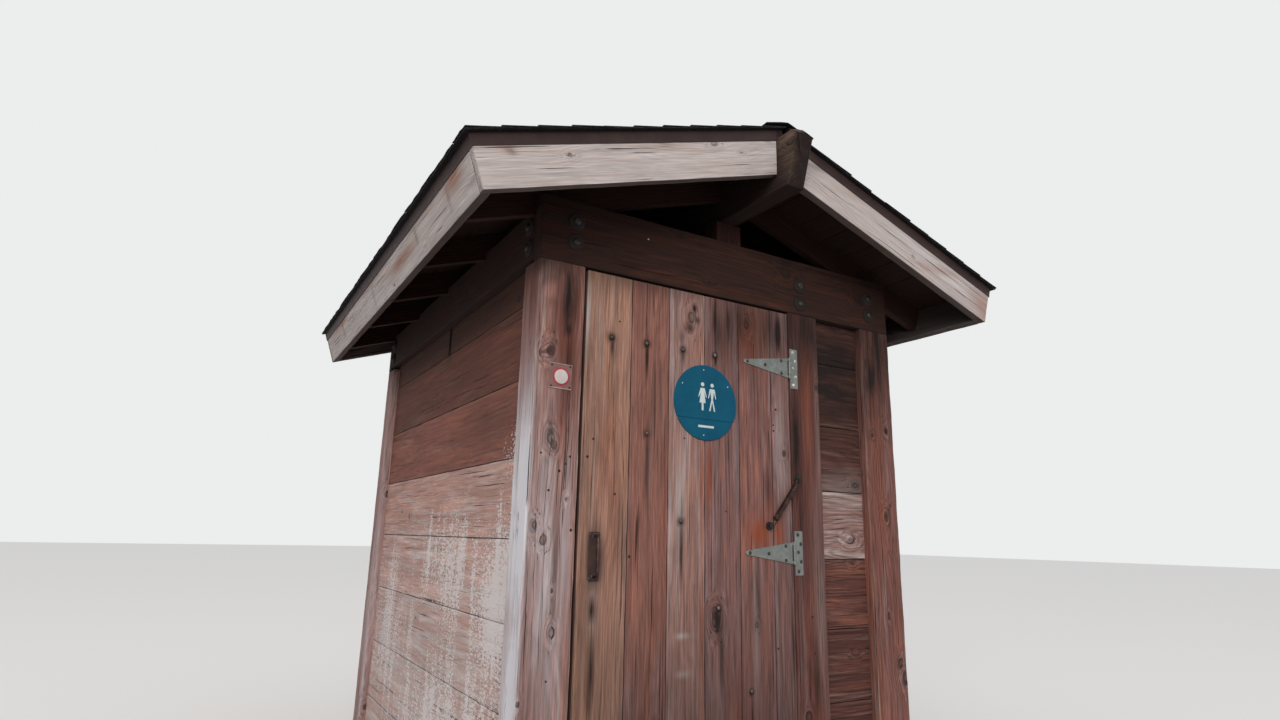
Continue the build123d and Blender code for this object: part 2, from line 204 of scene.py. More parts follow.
def skin(rings, around):
    """Numbers of the points on rings laid one after another, and the faces between the rings."""
    index = np.arange(rings * around).reshape(rings, around)
    after = np.roll(index, -1, axis=1)
    quads = np.stack((index[:-1], after[:-1], after[1:], index[1:]), axis=-1).reshape(-1, 4)
    return index, [tuple(quad) for quad in quads]


def lofted(rows):
    """A part whose skin runs over rings of points and is closed flat at both ends."""
    rows = np.array(rows, float)
    index, faces = skin(*rows.shape[:2])
    return {"points": rows.reshape(-1, 3), "faces": faces + [tuple(index[-1]), tuple(index[0][::-1])]}


def marks_on(y, depth, **groups):
    """Marks on a face square to Y: for each kind, rows of x, z, reach in x, reach in z and strength."""
    return [(kind, (x, y, z), (across, depth, up), strength)
            for kind, rows in groups.items() for x, z, across, up, strength in rows]


def timber(rng, low, high, axes, step=0.014, across=0.012, fine=None, arris=0.003, uneven=0.0006, checks=(),
           slant=(0.0, 0.0), joints=0.0, knots=(), marks=()):
    """One sawn timber: rings of points round it from end to end, with drying checks cut along its faces.

    low and high are its corners along the axes: length, width, thickness. Faces 0 to 3 go round it from
    the one at the lowest thickness, and fine gives the point spacing on face 0. A check is (face, share
    of the way across, start, end, depth, width), and its inside is darkened as painted shade. slant
    leans the two ends with the thickness, joints paints shade on faces 1 and 3, or on each of
    the four faces, a knot is (place, radius), and a mark is (kind, place, reach each way, strength).
    """
    # Painted shade: the faces chosen here, the corners between them and the insides of checks are darkened
    painted_shade = joints if isinstance(joints, tuple) else (0.0, joints, 0.0, joints)
    length, width, thickness = high - low
    stations = max(2, int(round(length / step)))
    run = np.concatenate(([0.0], np.linspace(arris, length - arris, stations), [length]))
    rounded = arris * np.clip(1.0 + 0.7 * wander(rng, run, 0.31, 1.0), 0.35, 2.2)
    inset = np.zeros(len(run))
    inset[[0, -1]] = arris
    columns = []
    for face in range(4):
        span = width if face % 2 == 0 else thickness
        spacing = fine if face == 0 and fine else across
        own = [check for check in checks if check[0] == face]
        places = [(place, 0.0, None) for place in np.linspace(0, 1, max(2, int(round(span / spacing))) + 1)
                  if all(abs(place - c[1]) * span > c[5] * 1.6 for c in own)]
        for check in own:
            places += [(check[1], side, check) for side in (-1.0, 0.0, 1.0)]
        places.sort(key=lambda p: (p[0], p[1]))
        drift = wander(rng, run, 0.9, span * 0.05)
        dents = np.abs(wander(rng, run, 0.23, uneven)) + uneven * 0.3
        for place, side, check in places:
            sink = dents * (0.6 + 0.4 * math.sin(9.0 * place + face))
            cleft = np.full(len(run), painted_shade[face])
            base = rounded + place * (span - 2 * rounded)
            if check:
                _, _, start, end, depth, gape = check
                share = np.clip((run / length - start) / (end - start), 0, 1)
                opened = np.sin(share * math.pi) ** 0.6 * (0.75 + 0.25 * np.sin(run * 37.0 + depth * 900))
                opened[[0, -1]] = opened[[1, -2]]
                base = base + side * gape * 0.5 * np.maximum(opened, 0.05)
                # The middle of a check sinks, and its floor gets painted shade as far as the check opens
                if side == 0.0:
                    sink = sink + depth * opened
                    cleft = opened
            base = base + drift * 4 * place * (1 - place)
            columns.append((face, base, sink, cleft, float(place in (0.0, 1.0))))
        corner = rounded * 0.29
        edge_painted_shade = (painted_shade[face] + painted_shade[(face + 1) % 4]) / 2
        columns.append((face + 10, corner, corner, np.full(len(run), edge_painted_shade), 1.0))
    rings = np.zeros((len(run), len(columns), 2))
    painted_shade_shares = np.zeros((len(run), len(columns)))
    edges = np.zeros((len(run), len(columns)))
    half_w, half_t = width / 2 - inset, thickness / 2 - inset
    for number, (face, base, sink, cleft, edge) in enumerate(columns):
        if face >= 10:
            side = ((1, -1), (1, 1), (-1, 1), (-1, -1))[face - 10]
            rings[:, number, 0] = side[0] * (half_w - sink)
            rings[:, number, 1] = side[1] * (half_t - sink)
        else:
            span = width if face % 2 == 0 else thickness
            inner = (base - span / 2) * (1 - 2 * inset / span)
            out = (half_t if face % 2 == 0 else half_w) - sink
            rings[:, number, 0] = (inner, out, -inner, -out)[face]
            rings[:, number, 1] = (-out, inner, out, -inner)[face]
        painted_shade_shares[:, number] = cleft
        edges[:, number] = edge
    ring_size = len(columns)
    local = np.zeros((len(run), ring_size, 3))
    under_top = thickness / 2 - rings[:, :, 1]
    first, last = slant[0] * under_top, length + slant[1] * under_top
    local[:, :, 0] = first + (last - first) * (run / length)[:, None]
    local[:, :, 1:] = rings
    middles = [[slant[0] * thickness / 2, 0, 0], [length + slant[1] * thickness / 2, 0, 0]]
    points = np.concatenate((local.reshape(-1, 3), middles))
    basis = np.array(axes, float)
    origin = low + np.array([0, width / 2, thickness / 2])
    placed = (points + origin) @ basis
    board = {
        "points": placed,
        "tone": np.full(len(points), rng.uniform()),
        "cleft": np.append(painted_shade_shares.ravel(), (painted_shade[1], painted_shade[1])),
        "arris": np.append(edges.ravel(), (0, 0)),
        "knot": np.zeros(len(points)),
    }
    grain = points.copy()
    broad, narrow = (1, 2) if width >= thickness else (2, 1)
    for place, radius in knots:
        # The grain parts round a knot on the broad face and swells up over it
        away = points - (basis @ np.array(place, float) - origin)
        reach = np.sqrt((away[:, 0] / 1.5) ** 2 + away[:, broad] ** 2 + (away[:, narrow] / 4) ** 2) / radius
        near = np.exp(-(reach / 2.6) ** 2)
        grain[:, broad] -= away[:, broad] * near * 0.85
        grain[:, narrow] += radius * near * 2.6
        board["knot"] = np.maximum(board["knot"], np.clip(2.5 - reach, 0, 2.5))
    pith = np.array([rng.uniform(0, 50), 0.0, 0.0])
    pith[broad] = (high - low)[broad] * rng.uniform(-0.3, 0.3)
    pith[narrow] = (high - low)[narrow] / 2 + rng.uniform(0.03, 0.1)
    board["grain"] = grain + pith
    for kind in MARK_KINDS:
        board[kind] = np.zeros(len(points))
    for kind, place, reach, strength in marks:
        away = (placed - np.array(place, float)) / np.array(reach, float)
        board[kind] = np.maximum(board[kind], strength * np.exp(-(away ** 2).sum(1)))
    index, board["faces"] = skin(len(run), ring_size)
    after = np.roll(index, -1, axis=1)
    total = index.size
    board["faces"] += [(total, following, point) for point, following in zip(index[0], after[0])]
    board["faces"] += [(total + 1, point, following) for point, following in zip(index[-1], after[-1])]
    return board


def make_piece(name, parts, material, body=None, replaced=(), sharp=35):
    """Joins parts into one piece, which rides on a body and stands for the CAD nodes it replaces."""
    starts = np.cumsum([0] + [len(part["points"]) for part in parts])
    faces = [tuple(int(v + start) for v in face) for part, start in zip(parts, starts)
             for face in part["faces"]]
    mesh = bpy.data.meshes.new(name)
    mesh.from_pydata(np.concatenate([part["points"] for part in parts]).tolist(), [], faces)
    for key in sorted(set(parts[0]) - {"points", "faces"}):
        values = np.concatenate([part[key] for part in parts]).astype(np.float32)
        layer = mesh.attributes.new(key, "FLOAT_VECTOR" if values.ndim == 2 else "FLOAT", "POINT")
        layer.data.foreach_set("vector" if values.ndim == 2 else "value", values.ravel())
    if "grain" not in parts[0]:
        shell = bmesh.new()
        shell.from_mesh(mesh)
        bmesh.ops.recalc_face_normals(shell, faces=shell.faces)
        shell.to_mesh(mesh)
        shell.free()
    mesh.shade_smooth()
    mesh.set_sharp_from_angle(angle=math.radians(sharp))
    mesh.materials.append(material)
    piece = bpy.data.objects.new(name, mesh)
    bpy.context.scene.collection.objects.link(piece)
    if body:
        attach(piece, body)
    if replaced:
        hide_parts(*replaced)
    return piece


def weathered_wood(name, plain, warm, grey, dark, turn=None, ring=0.010, figure=0.3, warmth=0.4,
                   greyness=0.4, spots=0.2, fibres=1.0, relief=1.0, kerf=0.0, tones=0.24,
                   pale="#c2b9b6", rust="#8c4c31", crust="#cbc1be", roughness=0.86, clouds=0.5):
    """Old sawn redwood: faint rings, streaks of warmer and greyer fibres, knots, stains and fine checks.

    Boards carry their own grain, and a node kept from the frame names the turn that lays its length on X.
    The rings are drawn at the given pitch, about three real rings to one, so that they show.
    """
    material, tree = blank_material(name)
    objects = add(tree, "TexCoord").outputs["Object"]
    if turn is None:
        place = add(tree, "Attribute", attribute_name="grain").outputs["Vector"]
    else:
        mirrored = add(tree, "VectorMath", {0: objects}, operation="ABSOLUTE")
        place = add(tree, "Mapping", {"Vector": mirrored, "Rotation": turn,
                                      "Location": (3.0, 0.37, 0.29)}).outputs["Vector"]
    field = {}
    for key in ("tone", "cleft", "arris", "knot", "soot", "rust", "pale", "crust"):
        field[key] = add(tree, "Attribute", attribute_name=key).outputs["Fac"]

    # Noise drawn out along the grain, from broad patches to single fibres
    noise = {}
    for key, stretch, shift, detail, rough in (
            ("patch", (1.1, 4.5, 4.5), (3, 8, 1), 2.0, 0.5),
            ("warm", (1.7, 19.0, 19.0), (0, 0, 0), 5.0, 0.64),
            ("grey", (1.9, 30.0, 30.0), (7, 2, 5), 5.0, 0.68),
            ("blot", (1.6, 13.0, 13.0), (1, 9, 4), 5.0, 0.7),
            ("streak", (3.6, 135.0, 135.0), (2, 6, 3), 5.0, 0.75),
            ("fibre", (7.0, 260.0, 260.0), (0, 0, 0), 2.0, 0.6),
            ("craze", (1.8, 120.0, 120.0), (5, 5, 5), 3.0, 0.55)):
        drawn = add(tree, "VectorMath", {0: place, 1: stretch, 2: shift}, operation="MULTIPLY_ADD")
        noise[key] = add(tree, "TexNoise", {"Vector": drawn, "Scale": 1.0, "Detail": detail,
                                            "Roughness": rough, "Distortion": 0.3})
    crack = add(tree, "MapRange", {"Value": noise["craze"], "From Min": 0.63, "From Max": 0.69})

    # Rings round a pith that wanders, fading in and out along the board
    bend = add(tree, "VectorMath", {0: noise["patch"].outputs["Color"], 1: (0, 0.17, 0.17), 2: place},
               operation="MULTIPLY_ADD")
    bend = add(tree, "VectorMath", {0: bend, 1: (0, 1, 1)}, operation="MULTIPLY")
    radius = add(tree, "VectorMath", {0: bend}, operation="LENGTH").outputs["Value"]
    radius = add(tree, "Math", {0: noise["warm"], 1: 0.010, 2: radius}, operation="MULTIPLY_ADD")
    wave = add(tree, "Math", {0: radius, 1: 2 * math.pi / ring}, operation="MULTIPLY")
    wave = add(tree, "Math", {0: wave}, operation="SINE")
    band = add(tree, "Math", {0: wave, 1: 0.5, 2: 0.5}, operation="MULTIPLY_ADD")
    band = add(tree, "Math", {0: band, 1: 1.8}, operation="POWER")
    shown = add(tree, "MapRange", {"Value": noise["blot"], "From Min": 0.35, "From Max": 0.6,
                                   "To Min": 0.25, "To Max": 1.0})
    shown = add(tree, "Math", {0: shown, 1: field["knot"]}, operation="MAXIMUM", use_clamp=True)
    band = add(tree, "Math", {0: band, 1: shown}, operation="MULTIPLY")

    # Colour of the bare wood
    start = 0.62 - 0.24 * warmth
    share = add(tree, "MapRange", {"Value": noise["warm"], "From Min": start, "From Max": start + 0.13})
    colour = add(tree, "Mix", {"Factor": share.outputs[0], "A": paint(plain), "B": paint(warm)},
                 data_type="RGBA")
    start = 0.62 - 0.24 * greyness
    share = add(tree, "MapRange", {"Value": noise["grey"], "From Min": start, "From Max": start + 0.16})
    share = add(tree, "Math", {0: field["arris"], 1: 0.25, 2: share}, operation="MULTIPLY_ADD")
    share = add(tree, "Math", {0: share, 1: 0.85}, operation="MULTIPLY", use_clamp=True)
    colour = add(tree, "Mix", {"Factor": share, "A": colour.outputs["Result"], "B": paint(grey)},
                 data_type="RGBA")
    shine = add(tree, "MapRange", {"Value": noise["fibre"], "From Min": 0.25, "From Max": 0.75,
                                   "To Min": 0.84, "To Max": 1.12})
    depth = add(tree, "Math", {0: field["knot"], 1: -0.28, 2: -figure}, operation="MULTIPLY_ADD")
    shine = add(tree, "Math", {0: band, 1: depth, 2: shine}, operation="MULTIPLY_ADD")
    streak = add(tree, "MapRange", {"Value": noise["streak"], "From Min": 0.34, "From Max": 0.64,
                                    "To Min": 1 - 0.46 * fibres, "To Max": 1 + 0.48 * fibres})
    shine = add(tree, "Math", {0: shine, 1: streak}, operation="MULTIPLY")
    cloudy = add(tree, "MapRange", {"Value": noise["blot"], "From Min": 0.36, "From Max": 0.64,
                                    "To Min": 1 - 0.26 * clouds, "To Max": 1 + 0.22 * clouds})
    shine = add(tree, "Math", {0: shine, 1: cloudy}, operation="MULTIPLY")
    board_shine = add(tree, "MapRange", {"Value": field["tone"], "To Min": 1 - tones / 2,
                                         "To Max": 1 + tones / 2})
    shine = add(tree, "Math", {0: shine, 1: board_shine}, operation="MULTIPLY")
    colour = add(tree, "VectorMath", {0: colour.outputs["Result"], "Scale": shine},
                 operation="SCALE").outputs["Vector"]

    # What weather and iron did to it, and painted shade under the beams and at the door's foot:
    # each mark's edge is broken up along the grain
    layers = []
    for key, tint, broken, least in (("rust", rust, "warm", 0.5), ("pale", pale, "grey", 0.5),
                                     ("soot", "#1c110e", "blot", 0.55)):
        share = add(tree, "MapRange", {"Value": noise[broken], "From Min": 0.33, "From Max": 0.62,
                                       "To Min": least, "To Max": 1.25})
        share = add(tree, "Math", {0: share, 1: field[key]}, operation="MULTIPLY", use_clamp=True)
        layers.append((share, tint))
    blot = add(tree, "MapRange", {"Value": noise["blot"], "From Min": 0.72 - 0.25 * spots,
                                  "From Max": 0.86 - 0.25 * spots, "To Max": 0.8})
    layers.append((blot, dark))

    # Knots: a hard brown core inside a black ring of loose bark
    near = add(tree, "Math", {0: noise["blot"], 1: 2.4, 2: field["knot"]}, operation="MULTIPLY_ADD")
    core = add(tree, "MapRange", {"Value": near, "From Min": 2.35, "From Max": 2.85, "To Max": 0.45})
    rim = add(tree, "Math", {0: near, 1: 2.70}, operation="SUBTRACT")
    rim = add(tree, "Math", {0: rim}, operation="ABSOLUTE")
    rim = add(tree, "MapRange", {"Value": rim, "From Min": 0.34, "From Max": 0.05, "To Max": 0.5})
    # Painted shade: checks, fine cracks and shaded faces are mixed toward near-black
    painted_shade = add(tree, "Math", {0: field["cleft"], 1: crack}, operation="MAXIMUM")
    painted_shade = add(tree, "Math", {0: painted_shade, 1: 0.88}, operation="MULTIPLY")
    layers += [(core, dark), (rim, "#1f1311"), (painted_shade, "#150c0a")]
    for share, tint in layers:
        colour = add(tree, "Mix", {"Factor": share, "A": colour, "B": paint(tint)},
                     data_type="RGBA").outputs["Result"]

    # Relief: late wood stands proud, fibres are furred, fine checks are sunk
    height = add(tree, "Math", {0: noise["fibre"], 1: 0.9, 2: band}, operation="MULTIPLY_ADD")
    height = add(tree, "Math", {0: crack, 1: -1.6, 2: height}, operation="MULTIPLY_ADD")
    height = add(tree, "Math", {0: core, 1: 1.5, 2: height}, operation="MULTIPLY_ADD")
    height = add(tree, "Math", {0: rim, 1: -1.5, 2: height}, operation="MULTIPLY_ADD")
    if kerf:
        # The mill's saw left strokes across the board about 9 mm apart
        parts = add(tree, "SeparateXYZ", {0: place})
        stroke = add(tree, "Math", {0: parts.outputs[1], 1: 0.25, 2: parts.outputs[0]},
                     operation="MULTIPLY_ADD")
        stroke = add(tree, "Math", {0: noise["patch"], 1: 0.05, 2: stroke}, operation="MULTIPLY_ADD")
        stroke = add(tree, "Math", {0: stroke, 1: 2 * math.pi / 0.009}, operation="MULTIPLY")
        stroke = add(tree, "Math", {0: stroke}, operation="SINE")
        stroke = add(tree, "Math", {0: stroke, 1: field["crust"]}, operation="MULTIPLY")
        height = add(tree, "Math", {0: stroke, 1: kerf, 2: height}, operation="MULTIPLY_ADD")

        # Lichen and flaked finish: flecks a centimetre long that gather in runs down the wall
        drawn = add(tree, "VectorMath", {0: place, 1: (55.0, 120.0, 120.0)}, operation="MULTIPLY")
        fleck = add(tree, "TexNoise", {"Vector": drawn, "Scale": 1.0, "Detail": 3.0, "Roughness": 0.65})
        drawn = add(tree, "VectorMath", {0: objects, 1: (13.0, 13.0, 1.7)}, operation="MULTIPLY")
        runs = add(tree, "TexNoise", {"Vector": drawn, "Scale": 1.0, "Detail": 2.0})
        amount = add(tree, "Math", {0: runs, 1: 0.55, 2: fleck}, operation="MULTIPLY_ADD")
        amount = add(tree, "Math", {0: field["crust"], 1: 0.38, 2: amount}, operation="MULTIPLY_ADD")
        amount = add(tree, "Math", {0: stroke, 1: 0.035, 2: amount}, operation="MULTIPLY_ADD")
        amount = add(tree, "MapRange", {"Value": amount, "From Min": 0.99, "From Max": 1.06,
                                        "To Max": 3.4})
        amount = add(tree, "Math", {0: amount, 1: field["crust"]}, operation="MULTIPLY", use_clamp=True)
        amount = add(tree, "Math", {0: amount, 1: 0.85}, operation="MULTIPLY")
        colour = add(tree, "Mix", {"Factor": amount.outputs[0], "A": colour, "B": paint(crust)},
                     data_type="RGBA").outputs["Result"]
    bump = add(tree, "Bump", {"Height": height, "Strength": 0.5, "Distance": 0.0016 * relief})
    wood = add(tree, "BsdfPrincipled",
               {"Base Color": colour, "Roughness": roughness, "Specular IOR Level": 0.3, "Normal": bump})
    add(tree, "OutputMaterial", {"Surface": wood})
    return material


def drying_checks(rng, faces, count, depth=0.012, gape=0.004):
    """Checks at random places on some faces, none too close to its neighbour."""
    found = []
    for face in faces:
        taken = []
        for _ in range(count):
            place = rng.uniform(0.12, 0.88)
            if all(abs(place - other) > 0.09 for other in taken):
                taken.append(place)
                start = rng.uniform(-0.1, 0.75)
                end = start + rng.uniform(0.15, 0.6)
                found.append((face, place, start, end, depth * rng.uniform(0.5, 1.2),
                              gape * rng.uniform(0.6, 1.3)))
    return found


def scattered_knots(rng, low, high, axes, count, least=0.006, most=0.016):
    """Knots at random places along a timber, seen on its two broad faces."""
    shares = rng.uniform(0.04, 0.96, (count, 3))
    shares[:, 2] = np.round(shares[:, 2])
    return [((low + (high - low) * share) @ np.array(axes, float), rng.uniform(least, most))
            for share in shares]


post_wood = weathered_wood("weathered_redwood_post", "#9a7168", "#a9786a", "#b5a29e", "#3f2824", ring=0.011,
                           figure=0.36, warmth=0.35, greyness=0.45, spots=0.3, relief=1.5, pale="#dcdadf",
                           rust="#83402d")
brown_post_wood = weathered_wood("brown_redwood_post", "#825850", "#96604f", "#96807b", "#2e1d1a",
                                 ring=0.012, figure=0.34, greyness=0.35, spots=0.35, relief=1.3)
OUTER = left_post_low.x
FACE = left_post_low.y
post_marks = {
    "front_left_post": (
        ("pale", (OUTER - 0.012, FACE + 0.03, 1.22), (0.015, 0.14, 0.42), 2.8),
        ("pale", (OUTER - 0.012, FACE + 0.03, 0.50), (0.015, 0.14, 0.60), 2.6),
        ("rust", (OUTER, FACE + 0.06, 2.05), (0.015, 0.5, 0.26), 0.45),
        # The next two marks are painted shade at the top of the post, under the beam
        ("soot", (OUTER, FACE + 0.06, 2.10), (0.015, 0.5, 0.30), 0.35),
        ("soot", (-0.90, FACE, 2.16), (0.2, 0.2, 0.08), 0.80),
        *marks_on(FACE, 0.03, pale=(
            (-0.85, 1.1, 0.06, 0.5, 0.32), (-0.765, 1.15, 0.022, 0.3, 0.4), (-0.8, 0.75, 0.035, 0.2, 0.3),
        ), rust=(
            (-0.812, 1.86, 0.018, 0.18, 0.9), (-0.806, 1.58, 0.015, 0.13, 0.8),
            (-0.78, 1.9, 0.055, 0.24, 0.75),
        ), soot=(
            (-0.787, 1.91, 0.02, 0.045, 0.95), (-0.79, 2.02, 0.045, 0.18, 0.9),
            (-0.785, 1.78, 0.045, 0.2, 0.55), (-0.84, 1.55, 0.014, 0.1, 0.45),
            (-0.8, 1.05, 0.01, 0.22, 0.45), (-0.842, 1.88, 0.012, 0.18, 0.55),
            (-0.87, 0.55, 0.05, 0.3, 0.25),
        )),
    ),
    "rear_left_post": (("pale", (OUTER, 1.17, 0.9), (0.04, 0.06, 0.9), 0.40),),
    "front_right_post": (
        # The first mark is painted shade at the top of the post, under the beam
        ("soot", (0.80, FACE, 2.10), (0.2, 0.2, 0.36), 0.95),
        ("soot", (0.78, FACE, 1.95), (0.070, 0.1, 0.17), 1.15),
        ("rust", (0.80, FACE, 1.50), (0.045, 0.03, 0.50), 0.40),
    ),
}
post_knots = {
    "front_left_post": [((x, FACE, z), r) for x, z, r in (
        (-0.889, 1.807, 0.007), (-0.855, 1.818, 0.013), (-0.838, 1.511, 0.012), (-0.821, 1.480, 0.008),
        (-0.882, 1.209, 0.011), (-0.847, 1.161, 0.010), (-0.800, 0.864, 0.010), (-0.905, 0.655, 0.006),
        (-0.770, 1.300, 0.006), (-0.806, 0.997, 0.005), (-0.820, 0.400, 0.012),
    )],
}
rng = np.random.default_rng(11)
for node in ("front_left_post", "front_right_post", "rear_left_post", "rear_right_post"):
    low, high = solids(node, ALONG_Z)[0]
    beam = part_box("front_beam" if node.startswith("front") else "rear_beam")
    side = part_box("left_beam" if "left" in node else "right_beam")
    shaft_high = high.copy()
    shaft_high[0] = beam[0].z
    knots = post_knots.get(node) or scattered_knots(rng, low, shaft_high, ALONG_Z, 9)
    step, across = (0.011, 0.009) if node.startswith("front") else (0.020, 0.014)
    boards = [timber(rng, low, shaft_high, ALONG_Z, step=step, across=across, arris=0.004, uneven=0.001,
                     checks=drying_checks(rng, (0, 1, 2, 3), 5, 0.016, 0.0045), knots=knots,
                     marks=post_marks.get(node, ()))]
    tongue_low, tongue_high = low.copy(), high.copy()
    tongue_low[0] = beam[0].z - 0.01
    if "left" in node:
        tongue_low[1] = side[1].x + 0.001
    else:
        tongue_high[1] = side[0].x - 0.001
    if node.startswith("front"):
        tongue_low[2] = beam[1].y + 0.001
    else:
        tongue_high[2] = beam[0].y - 0.001
    boards.append(timber(rng, tongue_low, tongue_high, ALONG_Z, step=0.03, across=0.02))
    wood = post_wood if "left" in node else brown_post_wood
    make_piece(node + "_timber", boards, wood, "cabin", [node])

door_post_wood = weathered_wood("redwood_door_post", "#633d37", "#74463a", "#6f5c58", "#2a1916", ring=0.012,
                                figure=0.25, greyness=0.35, spots=0.35)
low, high = solids("door_post", ALONG_Z)[0]
marks = (
    # Painted shade at the top of the post, under the header
    ("soot", (0.36, FACE, 2.10), (0.2, 0.2, 0.20), 0.85),
    *marks_on(FACE, 0.03, soot=(
        (0.3, 1.6, 0.026, 0.22, 1.15), (0.32, 1.25, 0.016, 0.14, 0.75), (0.38, 0.62, 0.02, 0.15, 0.8),
    ), pale=(
        (0.43, 1.65, 0.01, 0.35, 0.25), (0.41, 0.95, 0.03, 0.4, 0.22),
    ), rust=(
        (0.39, 0.55, 0.03, 0.2, 0.35), (0.37, 1.75, 0.03, 0.25, 0.4),
    )),
)
knots = [((0.432, FACE, 1.837), 0.009), ((0.33, FACE, 0.50), 0.010)]
boards = [timber(rng, low, high, ALONG_Z, step=0.011, across=0.009, marks=marks, knots=knots,
                 checks=drying_checks(rng, (0, 3), 4, 0.010, 0.0035))]
make_piece("door_post_timber", boards, door_post_wood, "cabin", ["door_post"])


# Old nail stubs in the left post, the door post and the door: rusted ends a few millimetres across,
# left where notices and hooks once hung.

def turned(profile, place, toward, sides):
    """A round part: (radius, height) pairs turned about an axis from a place."""
    toward = Vector(toward).normalized()
    right = toward.orthogonal().normalized()
    up = toward.cross(right)
    angles = np.linspace(0, 2 * math.pi, sides, endpoint=False)
    circle = np.outer(np.cos(angles), right) + np.outer(np.sin(angles), up)
    rows = [np.array(place, float) + np.outer(np.full(sides, height), toward) + circle * radius
            for radius, height in profile]
    return lofted(rows)


def on_front(profile, x, z, sides):
    """A round part that stands out from the building's front face."""
    return turned(profile, (x, FACE, z), (0, -1, 0), sides)


def old_metal(name, colour, patch_colour, patch_size, amount=0.5, metallic=0.4, roughness=0.6,
              dents=0.0006):
    """Metal out of doors for years: a dull skin broken by patches of rust or bloom of a given size."""
    material, tree = blank_material(name)
    objects = add(tree, "TexCoord").outputs["Object"]
    cloud = add(tree, "TexNoise", {"Vector": objects, "Scale": 0.35 / patch_size,
                                   "Detail": 6.0, "Roughness": 0.68})
    share = add(tree, "MapRange", {"Value": cloud, "From Min": 0.56 - 0.2 * amount,
                                   "From Max": 0.74 - 0.2 * amount})
    tint = add(tree, "Mix", {"Factor": share.outputs[0], "A": paint(colour), "B": paint(patch_colour)},
               data_type="RGBA")
    rough = add(tree, "MapRange", {"Value": cloud, "From Min": 0.3, "From Max": 0.7,
                                   "To Min": roughness - 0.1, "To Max": roughness + 0.15})
    bump = add(tree, "Bump", {"Height": cloud, "Strength": 0.4, "Distance": dents})
    metal = add(tree, "BsdfPrincipled", {"Base Color": tint.outputs["Result"], "Metallic": metallic,
                                         "Roughness": rough, "Normal": bump})
    add(tree, "OutputMaterial", {"Surface": metal})
    return material


rusted = old_metal("rusted_steel_stub", "#1f1513", "#3a231c", 0.004)
POST_HOLES = ((-0.871, 1.453), (-0.760, 1.447), (-0.799, 1.395), (-0.775, 1.421), (-0.836, 1.327),
              (-0.745, 1.196), (-0.812, 0.716), (0.292, 1.716), (0.292, 1.661), (0.285, 1.640),
              (0.373, 0.734), (0.365, 0.874))
DOOR_HOLES = ((-0.576, 1.973), (-0.671, 1.517), (-0.692, 1.452), (-0.275, 1.553), (-0.576, 1.326),
              (-0.510, 1.109), (-0.075, 1.282), (0.178, 0.763), (0.192, 1.715), (0.177, 1.647),
              (0.178, 1.623))
for name, holes, body in (("old_nail_stubs_on_posts", POST_HOLES, "cabin"),
                          ("old_nail_stubs_on_door", DOOR_HOLES, "door")):
    stubs = []
    for number, (x, z) in enumerate(holes):
        radius = 0.0028 + 0.0006 * (number % 3)
        profile = ((radius * 1.3, -0.001), (radius * 1.3, 0.0005), (radius, 0.0012), (radius * 0.5, 0.0014))
        stubs.append(on_front(profile, x, z, 10))
    make_piece(name, stubs, rusted, body)


# Beams over the posts: dark stained redwood, let into the post tops and bolted through. The roof
# keeps them dry, so they hold their old stain and show little but checks and the saw's marks.

dark_wood = weathered_wood("sheltered_dark_redwood", "#301a14", "#412218", "#38261f", "#0f0807", ring=0.016,
                           greyness=0.2, spots=0.5, relief=0.8, tones=0.1)
rng = np.random.default_rng(12)
for node, axes in (("front_beam", ALONG_X), ("rear_beam", ALONG_X), ("left_beam", ALONG_Y),
                   ("right_beam", ALONG_Y), ("front_plate", ALONG_X), ("rear_plate", ALONG_X)):
    low, high = solids(node, axes)[0]
    # Painted shade on each beam's top and bottom faces
    boards = [timber(rng, low, high, axes, step=0.02, across=0.016, joints=0.3,
                     checks=drying_checks(rng, (0, 2), 3, 0.008, 0.003),
                     knots=scattered_knots(rng, low, high, axes, 4, 0.008, 0.02))]
    make_piece(node + "_timber", boards, dark_wood, "cabin", [node])

# Carriage bolts through the beams into the posts, in pairs, each on a cast washer 68 mm across.
# The washers have rusted almost black, and only the bolt heads are still rubbed bright.
washer_iron = old_metal("blackened_cast_iron", "#110c0b", "#22150f", 0.008, metallic=0.2, roughness=0.8)
bolt_steel = old_metal("rubbed_bolt_steel", "#241c1a", "#544b48", 0.010, metallic=0.5, roughness=0.55)
WASHER = ((0.034, 0.0), (0.034, 0.003), (0.031, 0.006), (0.021, 0.0085), (0.019, 0.0085))
BOLT_HEAD = ((0.015, 0.008), (0.015, 0.011), (0.0125, 0.0145), (0.007, 0.0165), (0.002, 0.017))
CORNER_BOLTS = ((-0.773, 2.332), (-0.773, 2.250), (0.790, 2.317), (0.790, 2.236))
DOOR_POST_BOLTS = ((0.349, 2.298), (0.349, 2.215))
SIDE_BOLTS = ((-0.99, 2.314), (-0.99, 2.232))
REAR_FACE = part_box("rear_beam")[1].y
bolted = [((x, FACE, z), (0, -1, 0)) for x, z in CORNER_BOLTS + DOOR_POST_BOLTS]
bolted += [((x, REAR_FACE, z), (0, 1, 0)) for x, z in CORNER_BOLTS]
for toward in (-1, 1):
    for y, z in SIDE_BOLTS:
        bolted += [((-toward * OUTER, y, z), (toward, 0, 0)),
                   ((-toward * OUTER, REAR_FACE + FACE - y, z), (toward, 0, 0))]
washers = [turned(WASHER, place, toward, 28) for place, toward in bolted]
make_piece("cast_washers", washers, washer_iron, "cabin")
heads = [turned(BOLT_HEAD, place, toward, 20) for place, toward in bolted]
make_piece("bolt_heads", heads, bolt_steel, "cabin")

